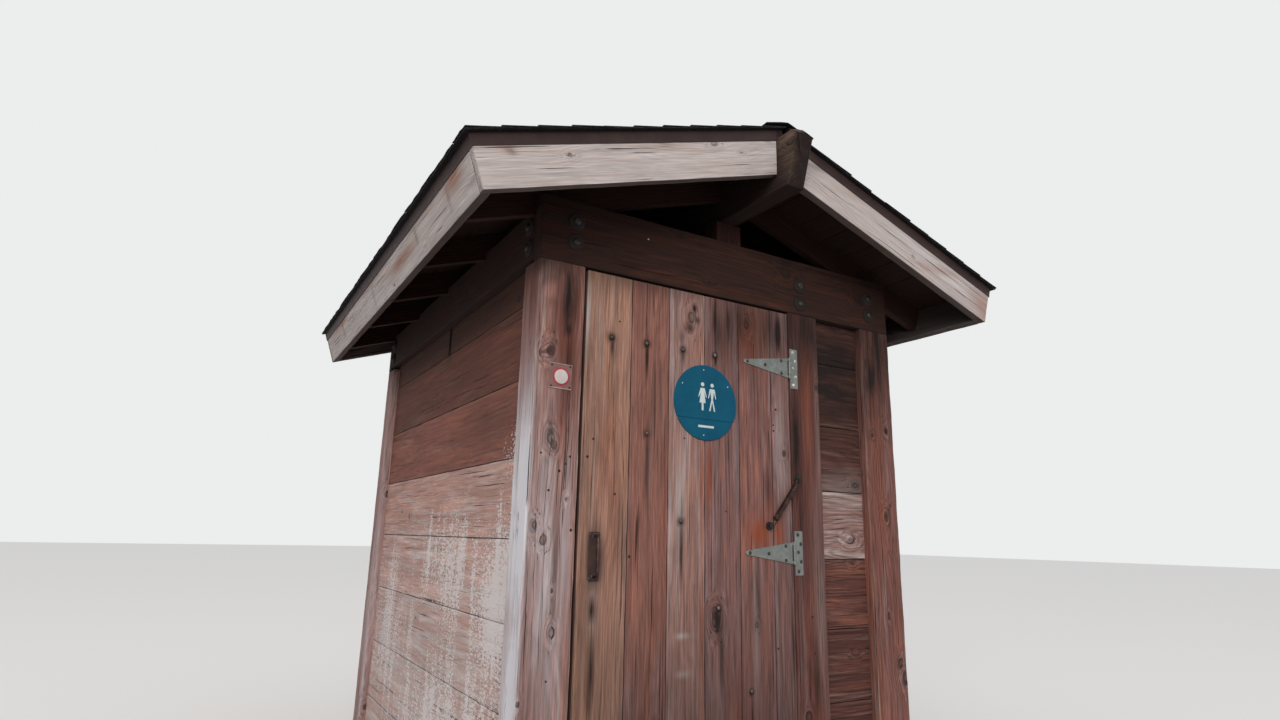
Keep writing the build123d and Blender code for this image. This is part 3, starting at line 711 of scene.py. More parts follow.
# A single wire nail is left in the front beam, left of the ridge. Its head is still bright, unlike
# the rusted stubs in the posts and the door.
rubbed_nail = old_metal("rubbed_nail_steel", "#a8a29e", "#d6d2cd", 0.006, roughness=0.45)
head = on_front(((0.0036, -0.001), (0.0036, 0.0012), (0.0020, 0.0020)), -0.4556, 2.337, 10)
make_piece("header_nail", [head], rubbed_nail, "cabin")


# Walls: wide rough planks laid on edge with their ends in grooves in the posts. The lower planks
# have lost their stain and carry a pale crust of lichen and flaked finish, thickest near the ground.

# Name, level that a plank's foot stays under, plain, warm and grey colours, warmth, greyness, spots
WALL_LOOKS = (
    ("wall_plank_foot", 1.10, "#bd988d", "#c59382", "#cfc1bd", 0.30, 0.50, 0.15),
    ("wall_plank_middle", 1.40, "#be968a", "#bd8d7a", "#c9b8b3", 0.30, 0.45, 0.20),
    ("wall_plank_upper", 1.70, "#7e5045", "#8b5746", "#87695f", 0.35, 0.25, 0.35),
    ("wall_plank_high", 2.00, "#633c32", "#72493a", "#6b534a", 0.35, 0.20, 0.45),
    ("wall_plank_top", 9.99, "#553328", "#603d30", "#5a453c", 0.35, 0.20, 0.50),
)
wall_woods = [
    weathered_wood(name, plain, warm, grey, "#33201b", ring=0.020, figure=0.12, warmth=warmth,
                   greyness=greyness, spots=spots, fibres=0.45, clouds=0.8, relief=0.9, kerf=0.6,
                   tones=0.16, rust="#b0713f", crust="#e0dad8")
    for name, _, plain, warm, grey, warmth, greyness, spots in WALL_LOOKS
]
SIDE_WEATHER = (
    ("crust", -0.85, 0.95, 0.38, 0.34, 0.95), ("crust", -0.20, 1.05, 0.80, 0.28, 0.70),
    ("crust", -0.30, 0.30, 1.20, 0.45, 0.75), ("crust", -0.95, 1.45, 0.18, 0.16, 0.55),
    ("crust", 0.80, 0.70, 0.70, 0.50, 0.55), ("pale", -0.10, 0.35, 1.40, 0.55, 0.50),
    ("pale", -0.90, 0.90, 0.40, 0.30, 0.35), ("soot", -0.55, 1.62, 0.50, 0.10, 0.35),
    # The first mark on the next line is painted shade along the top of the wall, under the beam and eaves
    ("soot", 0.00, 2.12, 1.30, 0.06, 0.60), ("rust", -0.955, 0.62, 0.018, 0.42, 1.1),
)
BUTT_GAP = 0.012
SHORT_PLANK = 0.7    # of the wall, under which a plank is half of a pair that meets at a butt
for number, (node, axes, out_face) in enumerate((("left_wall", ALONG_Y, 0), ("right_wall", ALONG_Y, 2),
                                                 ("rear_wall", ALONG_X, 0))):
    rng = np.random.default_rng(20 + number)
    low_corner, high_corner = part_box(node)
    if node == "rear_wall":
        weather = [("crust", (0, high_corner.y, 0.8), (0.9, 0.1, 0.45), 0.6),
                   ("pale", (0, high_corner.y, 0.3), (1.2, 0.1, 0.4), 0.45)]
    else:
        outer = low_corner.x if node == "left_wall" else high_corner.x
        middle_y = (low_corner.y + high_corner.y) / 2
        weather = [("soot", (outer, middle_y, 2.11), (0.1, 0.05, 0.10), 1.2)]
        weather += [(kind, (outer, y, z), (0.1, along, up), strength)
                    for kind, y, z, along, up, strength in SIDE_WEATHER]
    planks = [[] for _ in WALL_LOOKS]
    for low, high in solids(node, axes):
        if node != "rear_wall" and high[0] - low[0] < SHORT_PLANK * (high_corner.y - low_corner.y):
            if low[0] < -0.5:
                high[0] -= BUTT_GAP
            else:
                low[0] += BUTT_GAP
        look = next(i for i, settings in enumerate(WALL_LOOKS) if low[1] < settings[1])
        planks[look].append(timber(
            rng, low, high, axes, step=0.020 if node == "left_wall" else 0.030,
            # Painted shade on each plank's top and bottom edges, where the planks meet
            across=0.014 if node == "left_wall" else 0.020, arris=0.0028, joints=0.75, marks=weather,
            checks=drying_checks(rng, (out_face,), 3, 0.006, 0.0022),
            knots=scattered_knots(rng, low, high, axes, 2, 0.006, 0.011),
        ))
    for (look, *_), boards, wood in zip(WALL_LOOKS, planks, wall_woods):
        make_piece(f"{node}_{look}s", boards, wood, "cabin", [node])

# The bay beside the door has short planks between the door post and the corner post. One of them has
# bleached pale, and the rest have kept their dark stain.
bay_woods = [
    weathered_wood("bay_plank_dark", "#5e3a33", "#774a3d", "#7d655f", "#241512", ring=0.014, figure=0.4,
                   greyness=0.3, spots=0.5, relief=1.3),
    weathered_wood("bay_plank_bleached", "#977770", "#a57c6c", "#b7a5a1", "#3c2722", ring=0.012, figure=0.5,
                   greyness=0.6, spots=0.3, relief=1.5),
]
BLEACHED_LEVEL = 1.10
rng = np.random.default_rng(23)
planks = [[], []]
for low, high in solids("front_bay_wall", ALONG_X):
    bleached = int(abs(low[1] - BLEACHED_LEVEL) < 0.05)
    planks[bleached].append(timber(
        # Painted shade on each plank's top and bottom edges, where the planks meet
        rng, low, high, ALONG_X, step=0.012, across=0.010, arris=0.003, joints=0.85,
        checks=drying_checks(rng, (2,), 6 if bleached else 2, 0.008, 0.003),
        knots=scattered_knots(rng, low, high, ALONG_X, 1, 0.008, 0.014),
        # The first mark is painted shade across the top of the bay, under the header
        marks=(("soot", (0.6, FACE + 0.04, 1.95), (0.5, 0.2, 0.38), 0.95),
               ("pale", (0.6, FACE + 0.04, 1.41), (0.3, 0.2, 0.07), 0.25)),
    ))
for boards, wood, name in zip(planks, bay_woods, ("front_bay_dark_planks", "front_bay_bleached_plank")):
    make_piece(name, boards, wood, "cabin", ["front_bay_wall"])


# Floor: edge boards let in between the posts, joists across and boards nailed on from front to back.
# Foot traffic has rubbed the boards, and the threshold takes most of it.

floor_wood = weathered_wood("worn_floor_board", "#6d5142", "#7b5a45", "#86705f", "#2c1e18", ring=0.012,
                            figure=0.25, relief=0.6, roughness=0.72)
rng = np.random.default_rng(30)
for node, axes, step in (("floor_boards", ALONG_Y, 0.07), ("floor_joists", ALONG_X, 0.10),
                         ("threshold", ALONG_X, 0.02)):
    boards = [timber(rng, low, high, axes, step=step, across=0.022, joints=0.5,
                     knots=scattered_knots(rng, low, high, axes, 2, 0.01, 0.016))
              for low, high in solids(node, axes)]
    make_piece(node + "_sawn", boards, floor_wood, "cabin", [node])
for node in ("sills", "door_stops"):
    boards = []
    for low, high in solids(node, np.eye(3)):
        longest = int(np.argmax(high - low))
        axes = (ALONG_X, ALONG_Y, ALONG_Z)[longest]
        corners = np.stack((low, high)) @ np.array(axes, float).T
        boards.append(timber(rng, corners.min(0), corners.max(0), axes, step=0.05, across=0.02))
    make_piece(node + "_sawn", boards, floor_wood, "cabin", [node])


# Door: six upright redwood boards nailed to two ledges and a brace. Each was cut from another log
# and weathered in its own way, from orange-tan at the latch to grey at the hinges.

# Name, plain, warm and grey colours, colour of dark spots, warmth, greyness, spots
DOOR_LOOKS = (
    ("door_board_1", "#9f7a6a", "#aa7f6a", "#9a8881", "#3d2721", 0.50, 0.30, 0.10),
    ("door_board_2", "#8c6156", "#9c685a", "#91797a", "#3a2723", 0.45, 0.35, 0.15),
    ("door_board_3", "#9b766c", "#a87562", "#ab9896", "#33201d", 0.40, 0.50, 0.15),
    ("door_board_4", "#85605a", "#9c6657", "#8a7677", "#271817", 0.35, 0.50, 0.35),
    ("door_board_5", "#855c55", "#9a6656", "#8f7776", "#2f1c19", 0.45, 0.40, 0.25),
    ("door_board_6", "#7f5e59", "#8d6159", "#8d7a7b", "#271a19", 0.35, 0.50, 0.20),
)
DOOR_KNOTS = ((-0.245, 2.045, 0.014), (-0.126, 0.873, 0.016), (-0.130, 0.909, 0.011),
              (0.038, 2.063, 0.013), (0.072, 0.855, 0.007), (0.231, 1.532, 0.008),
              (-0.600, 0.450, 0.012), (0.160, 0.400, 0.010), (-0.400, 0.520, 0.009))
LEDGE_NAILS = ((-0.607, 1.907), (-0.453, 1.907), (-0.285, 1.907), (-0.126, 1.907), (-0.620, 0.330),
               (-0.450, 0.320), (-0.270, 0.325), (-0.090, 0.320), (0.080, 0.330), (0.220, 0.320))
BRACE_NAILS = ((-0.445, 1.558), (-0.288, 1.241), (-0.112, 0.923), (0.042, 0.618))
DRIPS = (0.055, 0.10, 0.04, 0.03, 0.06, 0.08, 0.05, 0.04, 0.07, 0.05, 0.16, 0.15, 0.08, 0.16)
door_marks = []
for (x, z), drip in zip(LEDGE_NAILS + BRACE_NAILS, DRIPS):
    door_marks.append(("soot", (x, FACE, z - 0.004), (0.016, 0.02, 0.020), 1.3))
    door_marks.append(("soot", (x + 0.002, FACE, z - drip * 0.6), (0.009, 0.02, drip), 1.0))
door_marks += marks_on(FACE, 0.02, soot=(
    (-0.653, 1.1, 0.034, 0.115, 1.0), (-0.653, 0.93, 0.02, 0.06, 1.0), (-0.653, 0.72, 0.022, 0.17, 1.05),
    (-0.69, 0.8, 0.028, 0.42, 0.5), (-0.122, 0.875, 0.011, 0.06, 1.1),
    (-0.228, 2.088, 0.014, 0.026, 0.95), (-0.252, 2.005, 0.024, 0.024, 0.85),
    (-0.212, 2.04, 0.012, 0.018, 0.8), (-0.292, 1.96, 0.012, 0.03, 0.7),
    (-0.675, 0.86, 0.006, 0.12, 0.55), (-0.125, 2.05, 0.016, 0.09, 0.95), (-0.06, 2.04, 0.022, 0.12, 1.0),
    (-0.092, 2.0, 0.06, 0.15, 0.75), (-0.1, 1.2, 0.016, 0.25, 0.4), (-0.1, 0.74, 0.016, 0.2, 0.9),
    (0.038, 2.058, 0.016, 0.024, 0.9), (0.142, 1.39, 0.014, 0.08, 0.8), (0.215, 2.05, 0.024, 0.11, 1.2),
    (0.08, 0.95, 0.016, 0.2, 0.75), (0.258, 0.8, 0.01, 0.35, 0.8),
), pale=(
    (-0.65, 0.94, 0.02, 0.1, 0.3), (-0.71, 1.98, 0.008, 0.13, 0.8), (-0.29, 1.33, 0.03, 0.16, 0.45),
    (-0.22, 2.05, 0.05, 0.07, 0.3), (0.07, 0.8, 0.014, 0.25, 0.35), (0.215, 1.6, 0.018, 0.22, 0.35),
    (-0.28, 0.83, 0.03, 0.01, 0.8), (-0.27, 0.7, 0.028, 0.012, 0.7),
), rust=(
    (-0.6, 1.35, 0.055, 0.4, 0.3), (-0.36, 1.25, 0.012, 0.6, 0.3), (-0.24, 2.03, 0.05, 0.09, 0.45),
    (-0.192, 1.42, 0.012, 0.14, 0.85), (-0.158, 1.42, 0.013, 0.12, 0.85), (-0.188, 0.72, 0.008, 0.5, 0.4),
    (0.035, 2.0, 0.045, 0.1, 0.7), (-0.02, 0.55, 0.012, 0.3, 0.6), (0.085, 1.2, 0.055, 0.07, 0.95),
    (0.195, 1.21, 0.022, 0.08, 0.85), (0.15, 1.32, 0.01, 0.08, 0.6),
))
# Painted shade: the door is darkened towards its foot, and along its top under the header
door_marks += marks_on(FACE, 0.05, soot=(
    (-0.2, 0.2, 0.9, 0.66, 0.7), (0.08, 2.08, 0.26, 0.2, 0.72), (-0.45, 2.16, 0.4, 0.06, 0.5),
))
rng = np.random.default_rng(40)
leaf_boards = sorted(solids("door_boards", ALONG_Z), key=lambda ends: ends[0][1])
for look, (low, high) in zip(DOOR_LOOKS, leaf_boards):
    name, plain, warm, grey, dark, warmth, greyness, spots = look
    wood = weathered_wood(name + "_redwood", plain, warm, grey, dark, ring=0.013, figure=0.15,
                          warmth=warmth, greyness=greyness, spots=spots, relief=1.2, fibres=0.9,
                          clouds=1.0, tones=0.0, rust="#94492c")
    inside = [((x, FACE, z), r) for x, z, r in DOOR_KNOTS if low[1] < x < high[1]]
    boards = [timber(rng, low, high, ALONG_Z, step=0.007, across=0.014, fine=0.006, arris=0.0025,
                     # Painted shade on each board's edges, in the joints between the boards
                     joints=0.85, uneven=0.0005, checks=drying_checks(rng, (0,), 2, 0.005, 0.0022),
                     knots=inside, marks=door_marks)]
    make_piece(name, boards, wood, "door", ["door_boards"])

# Ledges and brace behind the boards: sawn redwood out of the sun, which has kept an even brown. The
# brace's ends are cut level to meet the ledges.
ledge_wood = weathered_wood("door_ledge_redwood", "#7a564a", "#86604f", "#8b7469", "#30201c", greyness=0.3)
BRACE_WIDTH = 0.120
rng = np.random.default_rng(41)
boards = []
for low, high in solids("door_ledges", np.eye(3)):
    size = high - low
    if size[2] < 0.3:
        corners = np.stack((low, high)) @ np.array(ALONG_X, float).T
        lowest, highest = corners.min(0), corners.max(0)
        boards.append(timber(rng, lowest, highest, ALONG_X, step=0.02, across=0.02,
                             knots=scattered_knots(rng, lowest, highest, ALONG_X, 2)))
    else:
        run, rise = size[0] - BRACE_WIDTH, size[2]
        length = math.hypot(run, rise)
        axes = ((run / length, 0, -rise / length), (0, 1, 0), (rise / length, 0, run / length))
        corners = np.array(((low[0] + BRACE_WIDTH, high[1], high[2]), (high[0], low[1], low[2]),
                            (low[0], low[1], high[2]))) @ np.array(axes, float).T
        lowest, highest = corners.min(0), corners.max(0)
        lowest[0], highest[0] = corners[0, 0], corners[1, 0]
        boards.append(timber(rng, lowest, highest, axes, step=0.02, across=0.02,
                             slant=(-run / rise, -run / rise)))
make_piece("door_ledges_and_brace", boards, ledge_wood, "door", ["door_ledges"])

# Nails through the boards into the ledges and brace: hand-driven steel heads, each at its own small
# tilt, weathered to a dull brown with grey patches.
nail_steel = old_metal("weathered_nail_steel", "#4d4342", "#8d8480", 0.006, roughness=0.55)
heads = []
for number, (x, z) in enumerate(LEDGE_NAILS + BRACE_NAILS):
    size = 0.0062 + 0.0008 * math.sin(number * 2.3)
    heads.append(turned([(size, -0.002), (size, 0.0006), (size * 0.86, 0.0016), (size * 0.5, 0.0024),
                         (size * 0.15, 0.0026)], (x, FACE, z), (0.06 * math.sin(number), -1, 0.05), 14))
make_piece("door_nails", heads, nail_steel, "door")


# T hinges: stamped and galvanised steel, the strap screwed to the door and the plate to the door post,
# with the strap's ends and the plate's middle rolled round one pin. The zinc has dulled to grey-green.

FROM_FRONT = ((1, 0, 0), (0, 0, 1), (0, -1, 0))


def flat_plate(outline, place, right, up, out, thickness, edge=0.0008):
    """A plate cut to a left-handed outline, with its back on a surface and its front arris eased."""
    outline = np.array(outline, float)
    right, up, out = (np.array(v, float) for v in (right, up, out))
    before, after = outline - np.roll(outline, 1, 0), np.roll(outline, -1, 0) - outline
    before /= np.linalg.norm(before, axis=1)[:, None]
    after /= np.linalg.norm(after, axis=1)[:, None]
    inward = np.stack((-before[:, 1] - after[:, 1], before[:, 0] + after[:, 0]), 1)
    inward /= np.maximum((inward ** 2).sum(1), 0.5)[:, None] / 2
    rows = [outline, outline, outline + inward * edge]
    heights = (0.0, thickness - edge, thickness)
    place = np.array(place, float)
    return lofted([place + np.outer(row[:, 0], right) + np.outer(row[:, 1], up) + out * height
                   for row, height in zip(rows, heights)])


zinc = old_metal("dull_galvanised_steel", "#767b77", "#8b908c", 0.010, metallic=0.35, roughness=0.52,
                 dents=0.0004)
# Rain has washed the upper plate's screws bright. The others have gone dull and dark.
bright_screw = old_metal("rain_washed_screw", "#a3a09b", "#dedbd5", 0.008, metallic=0.5, roughness=0.35)
dark_screw = old_metal("dull_screw", "#2f2c2b", "#4a4644", 0.006, roughness=0.5)
SCREW = ((0.0074, -0.0005), (0.0074, 0.0008), (0.0056, 0.0024), (0.0028, 0.0030), (0.0006, 0.0022))
PIN_RADIUS, BARREL, SHEET, TIP_HALF, WINDOW = 0.004, 0.0055, 0.0035, 0.010, 0.0305
INSIDE = 0.0004    # metal parts stay this far inside the size that the frame gives them
EASED = 0.0006
THROAT, TIP_ROUND, PLATE_CORNER = 0.003, 0.008, 0.003
STRAP_HOLES = ((0.232, 0.0), (0.135, -0.002), (0.045, 0.028), (0.045, -0.028))
PLATE_HOLES = ((0.022, 0.074), (0.037, 0.037), (0.023, 0.004), (0.037, -0.034), (0.023, -0.072))


def rolled(lowest, highest, place):
    """A knuckle: sheet rolled round the pin, with both ends eased."""
    profile = [(BARREL - EASED, lowest), (BARREL, lowest + 0.0008), (BARREL, highest - 0.0008),
               (BARREL - EASED, highest)]
    return turned(profile, place, (0, 0, 1), 20)


def screws_on(thickness, places):
    """Dished screw heads on a plate of a given thickness, at x and z."""
    return [turned(SCREW, (x, FACE - thickness, z), (0, -1, 0), 14) for x, z in places]


for hinge in ("upper_hinge", "lower_hinge"):
    low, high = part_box(hinge + "_strap")
    pin_x, pin_y, middle = high.x - BARREL, low.y + BARREL, (low.z + high.z) / 2
    root, far = (high.z - low.z) / 2 - INSIDE, low.x + INSIDE
    near = pin_x - BARREL - THROAT
    at_near = TIP_HALF + (root - TIP_HALF) * (near - far) / (pin_x - far)
    arc = [(far + TIP_ROUND - TIP_ROUND * math.sin(a), (TIP_HALF - 0.002) * math.cos(a))
           for a in np.linspace(0, math.pi, 9)]
    outline = [(near, -at_near), (near, at_near), *arc]
    parts = [flat_plate(outline, (0, FACE, middle), *FROM_FRONT, SHEET)]
    for lowest, highest in ((-root, -WINDOW), (WINDOW, root)):
        parts.append(rolled(lowest, highest, (pin_x, pin_y, middle)))
        tongue = [(near - 0.001, lowest + INSIDE), (pin_x, lowest + INSIDE), (pin_x, highest - INSIDE),
                  (near - 0.001, highest - INSIDE)]
        parts.append(flat_plate(tongue, (0, FACE, middle), *FROM_FRONT, SHEET))
    make_piece(hinge + "_strap_zinc", parts, zinc, "door", [hinge + "_strap"], sharp=30)
    screws = screws_on(SHEET, [(pin_x - back, middle + up) for back, up in STRAP_HOLES])
    make_piece(hinge + "_strap_screws", screws, dark_screw, "door")

    low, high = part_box(hinge + "_plate")
    half, inner, outer = (high.z - low.z) / 2 - INSIDE, pin_x + BARREL + 0.001, high.x - INSIDE
    short = WINDOW - 0.001
    outline = [(inner, -half), (outer - PLATE_CORNER, -half), (outer, -half + PLATE_CORNER),
               (outer, half - PLATE_CORNER), (outer - PLATE_CORNER, half), (inner, half),
               (inner, short), (pin_x, short), (pin_x, -short), (inner, -short)]
    parts = [flat_plate(outline, (0, FACE, middle), *FROM_FRONT, SHEET)]
    parts.append(rolled(-short, short, (pin_x, pin_y, middle)))
    for toward in (-1, 1):
        parts.append(turned([(PIN_RADIUS - 0.001, root - 0.001), (PIN_RADIUS, root + 0.0005),
                             (PIN_RADIUS, root + 0.002), (PIN_RADIUS - 0.002, root + 0.0033)],
                            (pin_x, pin_y, middle), (0, 0, toward), 16))
    make_piece(hinge + "_plate_zinc", parts, zinc, "cabin", [hinge + "_plate"], sharp=30)
    screws = screws_on(SHEET, [(pin_x + forth, middle + up) for forth, up in PLATE_HOLES])
    make_piece(hinge + "_plate_screws", screws, bright_screw if hinge == "upper_hinge" else dark_screw,
               "cabin")


# Closing spring: a gate spring close-wound from 4 mm wire, hooked over a stud on the door post and
# an adjusting stud on the door. The wire has rusted to a dull brown.

def tube(path, radius, sides=8):
    """Round bar along a path of points, closed at both ends. Its radius may change along it."""
    path = np.array(path, float)
    radii = np.full(len(path), radius) if np.isscalar(radius) else np.array(radius)
    ahead = np.gradient(path, axis=0)
    ahead /= np.linalg.norm(ahead, axis=1)[:, None]
    side = np.array(Vector(ahead[0]).orthogonal().normalized())
    rows = []
    angles = np.linspace(0, 2 * math.pi, sides, endpoint=False)
    for point, way, size in zip(path, ahead, radii):
        side = side - way * (side @ way)
        side /= np.linalg.norm(side)
        other = np.cross(way, side)
        rows.append(point + size * (np.outer(np.cos(angles), side) + np.outer(np.sin(angles), other)))
    return lofted(rows)


def softened(points):
    """A line of points with its corners cut off three times over, so that it runs smoothly."""
    points = np.array(points, float)
    for _ in range(3):
        after_corner = points[:-1] * 0.75 + points[1:] * 0.25
        before_corner = points[:-1] * 0.25 + points[1:] * 0.75
        pairs = np.stack((after_corner, before_corner), 1)
        points = np.concatenate((points[:1], pairs.reshape(-1, 3), points[-1:]))
    return points


spring_wire = old_metal("rusty_spring_wire", "#30221f", "#5f4035", 0.010, amount=0.6, metallic=0.5,
                        roughness=0.4)
black_iron = old_metal("black_iron_fitting", "#1d191b", "#3a2a27", 0.008, amount=0.4, roughness=0.45)
STAND_OFF, COIL_END, COIL_RADIUS, WIRE, TURN_PITCH = 0.018, 0.034, 0.012, 0.0021, 0.0044
studs = []
for node in ("spring_post_foot", "spring_door_foot"):
    low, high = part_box(node)
    studs.append(np.array(((low.x + high.x) / 2, FACE, (low.z + high.z) / 2)))
out = np.array((0.0, -1.0, 0.0))
top_eye, low_eye = (stud + out * STAND_OFF for stud in studs)
way = (low_eye - top_eye) / np.linalg.norm(low_eye - top_eye)
across_way = np.cross(way, out)
turns = (np.linalg.norm(low_eye - top_eye) - 2 * COIL_END) / TURN_PITCH
winding = COIL_RADIUS - WIRE
coil = [top_eye + way * (COIL_END + t * TURN_PITCH)
        + winding * (across_way * math.cos(2 * math.pi * t) + out * math.sin(2 * math.pi * t))
        for t in np.linspace(0, turns, int(turns * 14))]
HOOK = ((COIL_END, winding), (0.027, 0.0088), (0.019, 0.0086), (0.008, 0.0094), (-0.003, 0.0082),
        (-0.009, 0.0025), (-0.009, -0.0035), (-0.003, -0.0082), (0.006, -0.0092), (0.014, -0.0062))
parts = [tube(coil, WIRE, 7)]
parts.append(tube(softened([top_eye + way * d + across_way * s for d, s in HOOK]), WIRE))
parts.append(tube(softened([low_eye - way * d - across_way * s for d, s in HOOK]), WIRE))
spring = make_piece("closing_spring_coil", parts, spring_wire, None, ["closing_spring"], sharp=50)
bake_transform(spring)

STUD = ((0.0168, 0.0), (0.0168, 0.0025), (0.0150, 0.0045), (0.0085, 0.005), (0.0058, 0.0065),
        (0.0058, 0.0195), (0.0092, 0.0200), (0.0095, 0.0215), (0.0080, 0.0228), (0.0020, 0.0229))
make_piece("spring_post_stud", [turned(STUD, studs[0], out, 24)], black_iron, "cabin",
           ["spring_post_foot"])
KNOB = ((0.0168, 0.0), (0.0168, 0.0035), (0.0155, 0.005), (0.0155, 0.0085), (0.0062, 0.0095),
        (0.0060, 0.0195), (0.0110, 0.0202), (0.0120, 0.0214), (0.0105, 0.0226), (0.0020, 0.0229))
make_piece("spring_door_knob", [turned(KNOB, studs[1], out, 24)], black_iron, "door",
           ["spring_door_foot"])


# Pull: a hand-forged handle, a bar bent out from a narrow iron plate and swollen where it is held.
# It has rusted to a dull brown that hands have polished at the top of the bend.

pull_iron = old_metal("hand_worn_iron", "#31211f", "#5f4540", 0.012, metallic=0.5, roughness=0.36)
low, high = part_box("door_pull")
centre_x, centre_z = (low.x + high.x) / 2, (low.z + high.z) / 2
half_w, half_h = (high.x - low.x) / 2 - INSIDE, (high.z - low.z) / 2 - INSIDE
CORNER, PLATE, GRIP, FOOT_RISE = 0.008, 0.0027, 0.0060, 0.069
outline = []
for quarter, (side_x, side_z) in enumerate(((1, 1), (-1, 1), (-1, -1), (1, -1))):
    for a in np.linspace(0, math.pi / 2, 4) + quarter * math.pi / 2:
        outline.append((centre_x + side_x * (half_w - CORNER) + CORNER * math.cos(a),
                        centre_z + side_z * (half_h - CORNER) + CORNER * math.sin(a)))
parts = [flat_plate(outline, (0, FACE, 0), *FROM_FRONT, PLATE)]
plate_rust = old_metal("rust_stained_plate", "#33221f", "#4b342d", 0.010, metallic=0.2, roughness=0.75)
make_piece("door_pull_plate", parts, plate_rust, "door", ["door_pull"], sharp=40)
reach = FACE - low.y - GRIP - INSIDE
bar = [(0.0, FOOT_RISE), (0.016, FOOT_RISE), (reach, FOOT_RISE - 0.006), (reach, 0.040), (reach, 0.0),
       (reach, -0.040), (reach, -FOOT_RISE + 0.006), (0.016, -FOOT_RISE), (0.0, -FOOT_RISE)]
line = softened([(centre_x, FACE - forward, centre_z + up) for forward, up in bar])
parts = [tube(line, GRIP - 0.0012 + 0.0012 * np.sin(np.linspace(0, math.pi, len(line))), 14)]
BOSS = ((0.011, 0.0025), (0.011, 0.004), (0.0085, 0.0055), (0.006, 0.006))
parts += [on_front(BOSS, centre_x, centre_z + up, 18) for up in (FOOT_RISE, -FOOT_RISE)]
make_piece("door_pull_bar", parts, pull_iron, "door", ["door_pull"], sharp=40)
corners = [(centre_x + sx, centre_z + sz) for sx in (-0.014, 0.014) for sz in (-0.074, 0.074)]
make_piece("door_pull_screws", screws_on(PLATE, corners), dark_screw, "door")


# Round sign: a disc of teal plastic with an eased rim, parted by a groove across its lower part, and
# two raised white figures. The line of words below them is left as a plain raised bar.

def satin_plastic(name, colour, worn_colour, roughness=0.42, size=0.05):
    """Sheet plastic or paint, faded in faint clouds and scuffed so that it shines unevenly."""
    material, tree = blank_material(name)
    objects = add(tree, "TexCoord").outputs["Object"]
    cloud = add(tree, "TexNoise", {"Vector": objects, "Scale": 0.5 / size,
                                   "Detail": 6.0, "Roughness": 0.65})
    scuff = add(tree, "TexNoise", {"Vector": objects, "Scale": 160.0, "Detail": 3.0, "Roughness": 0.7})
    share = add(tree, "MapRange", {"Value": cloud, "From Min": 0.35, "From Max": 0.68})
    tint = add(tree, "Mix", {"Factor": share.outputs[0], "A": paint(colour), "B": paint(worn_colour)},
               data_type="RGBA")
    rough = add(tree, "MapRange", {"Value": scuff, "From Min": 0.3, "From Max": 0.7,
                                   "To Min": roughness - 0.08, "To Max": roughness + 0.18})
    bump = add(tree, "Bump", {"Height": scuff, "Strength": 0.15, "Distance": 0.0003})
    plastic = add(tree, "BsdfPrincipled", {"Base Color": tint.outputs["Result"], "Roughness": rough,
                                           "Specular IOR Level": 0.15, "Normal": bump})
    add(tree, "OutputMaterial", {"Surface": plastic})
    return material


teal = satin_plastic("teal_sign_plastic", "#024f6b", "#065b75")
white = satin_plastic("white_sign_plastic", "#c9d4d4", "#dbe3e2")
low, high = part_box("round_sign")
sign_x, sign_z = (low.x + high.x) / 2, (low.z + high.z) / 2
radius = (high.x - low.x) / 2 - INSIDE
GROOVE_DROP, GROOVE_HALF, BACKING, DISC, SUNK = 0.071, 0.0034, 0.0026, 0.0048, 0.0002
upper_turn = math.asin((GROOVE_DROP - GROOVE_HALF) / radius)
lower_turn = math.asin((GROOVE_DROP + GROOVE_HALF) / radius)
parts = [on_front(((radius - 0.004, 0.0), (radius - 0.004, BACKING)), sign_x, sign_z, 96)]
for start, end, steps in ((-upper_turn, math.pi + upper_turn, 90),
                          (math.pi + lower_turn, 2 * math.pi - lower_turn, 50)):
    angles = np.linspace(start, end, steps)
    rim = [(sign_x + radius * math.cos(a), sign_z + radius * math.sin(a)) for a in angles]
    parts.append(flat_plate(rim, (0, FACE, 0), *FROM_FRONT, DISC, 0.0012))
make_piece("round_sign_disc", parts, teal, "door", ["round_sign"])
SKIRTED = ((0.0045, 0.0), (0.0045, 0.030), (0.0150, 0.030), (0.0080, 0.074), (0.0175, 0.052),
           (0.0200, 0.055), (0.0100, 0.090), (-0.0100, 0.090), (-0.0200, 0.055), (-0.0175, 0.052),
           (-0.0080, 0.074), (-0.0150, 0.030), (-0.0045, 0.030), (-0.0045, 0.0))
STANDING = ((0.0150, 0.0), (0.0040, 0.046), (0.0085, 0.078), (0.0165, 0.050), (0.0200, 0.052),
            (0.0120, 0.090), (-0.0120, 0.090), (-0.0200, 0.052), (-0.0165, 0.050), (-0.0085, 0.078),
            (-0.0040, 0.046), (-0.0150, 0.0), (-0.0085, 0.0), (0.0, 0.038), (0.0085, 0.0))
FEET_DROP, HEAD_RISE, BAR_HALF, BAR_DROP = 0.033, 0.072, 0.038, 0.097
RAISED, RAISED_EDGE = 0.0009, 0.0003
parts = []
for offset, figure in ((-0.017, SKIRTED), (0.030, STANDING)):
    outline = [(sign_x + offset + x, sign_z - FEET_DROP + z) for x, z in figure]
    parts.append(flat_plate(outline, (0, FACE - DISC + SUNK, 0), *FROM_FRONT, RAISED, RAISED_EDGE))
    parts.append(on_front(((0.0082, DISC - SUNK), (0.0082, DISC + 0.0004), (0.0078, DISC + 0.0007)),
                          sign_x + offset, sign_z + HEAD_RISE, 20))
outline = [(sign_x + sx * BAR_HALF, sign_z - BAR_DROP + sz * 0.0045)
           for sx, sz in ((-1, -1), (1, -1), (1, 1), (-1, 1))]
parts.append(flat_plate(outline, (0, FACE - DISC + SUNK, 0), *FROM_FRONT, RAISED, RAISED_EDGE))
PIN_CIRCLE = 0.132
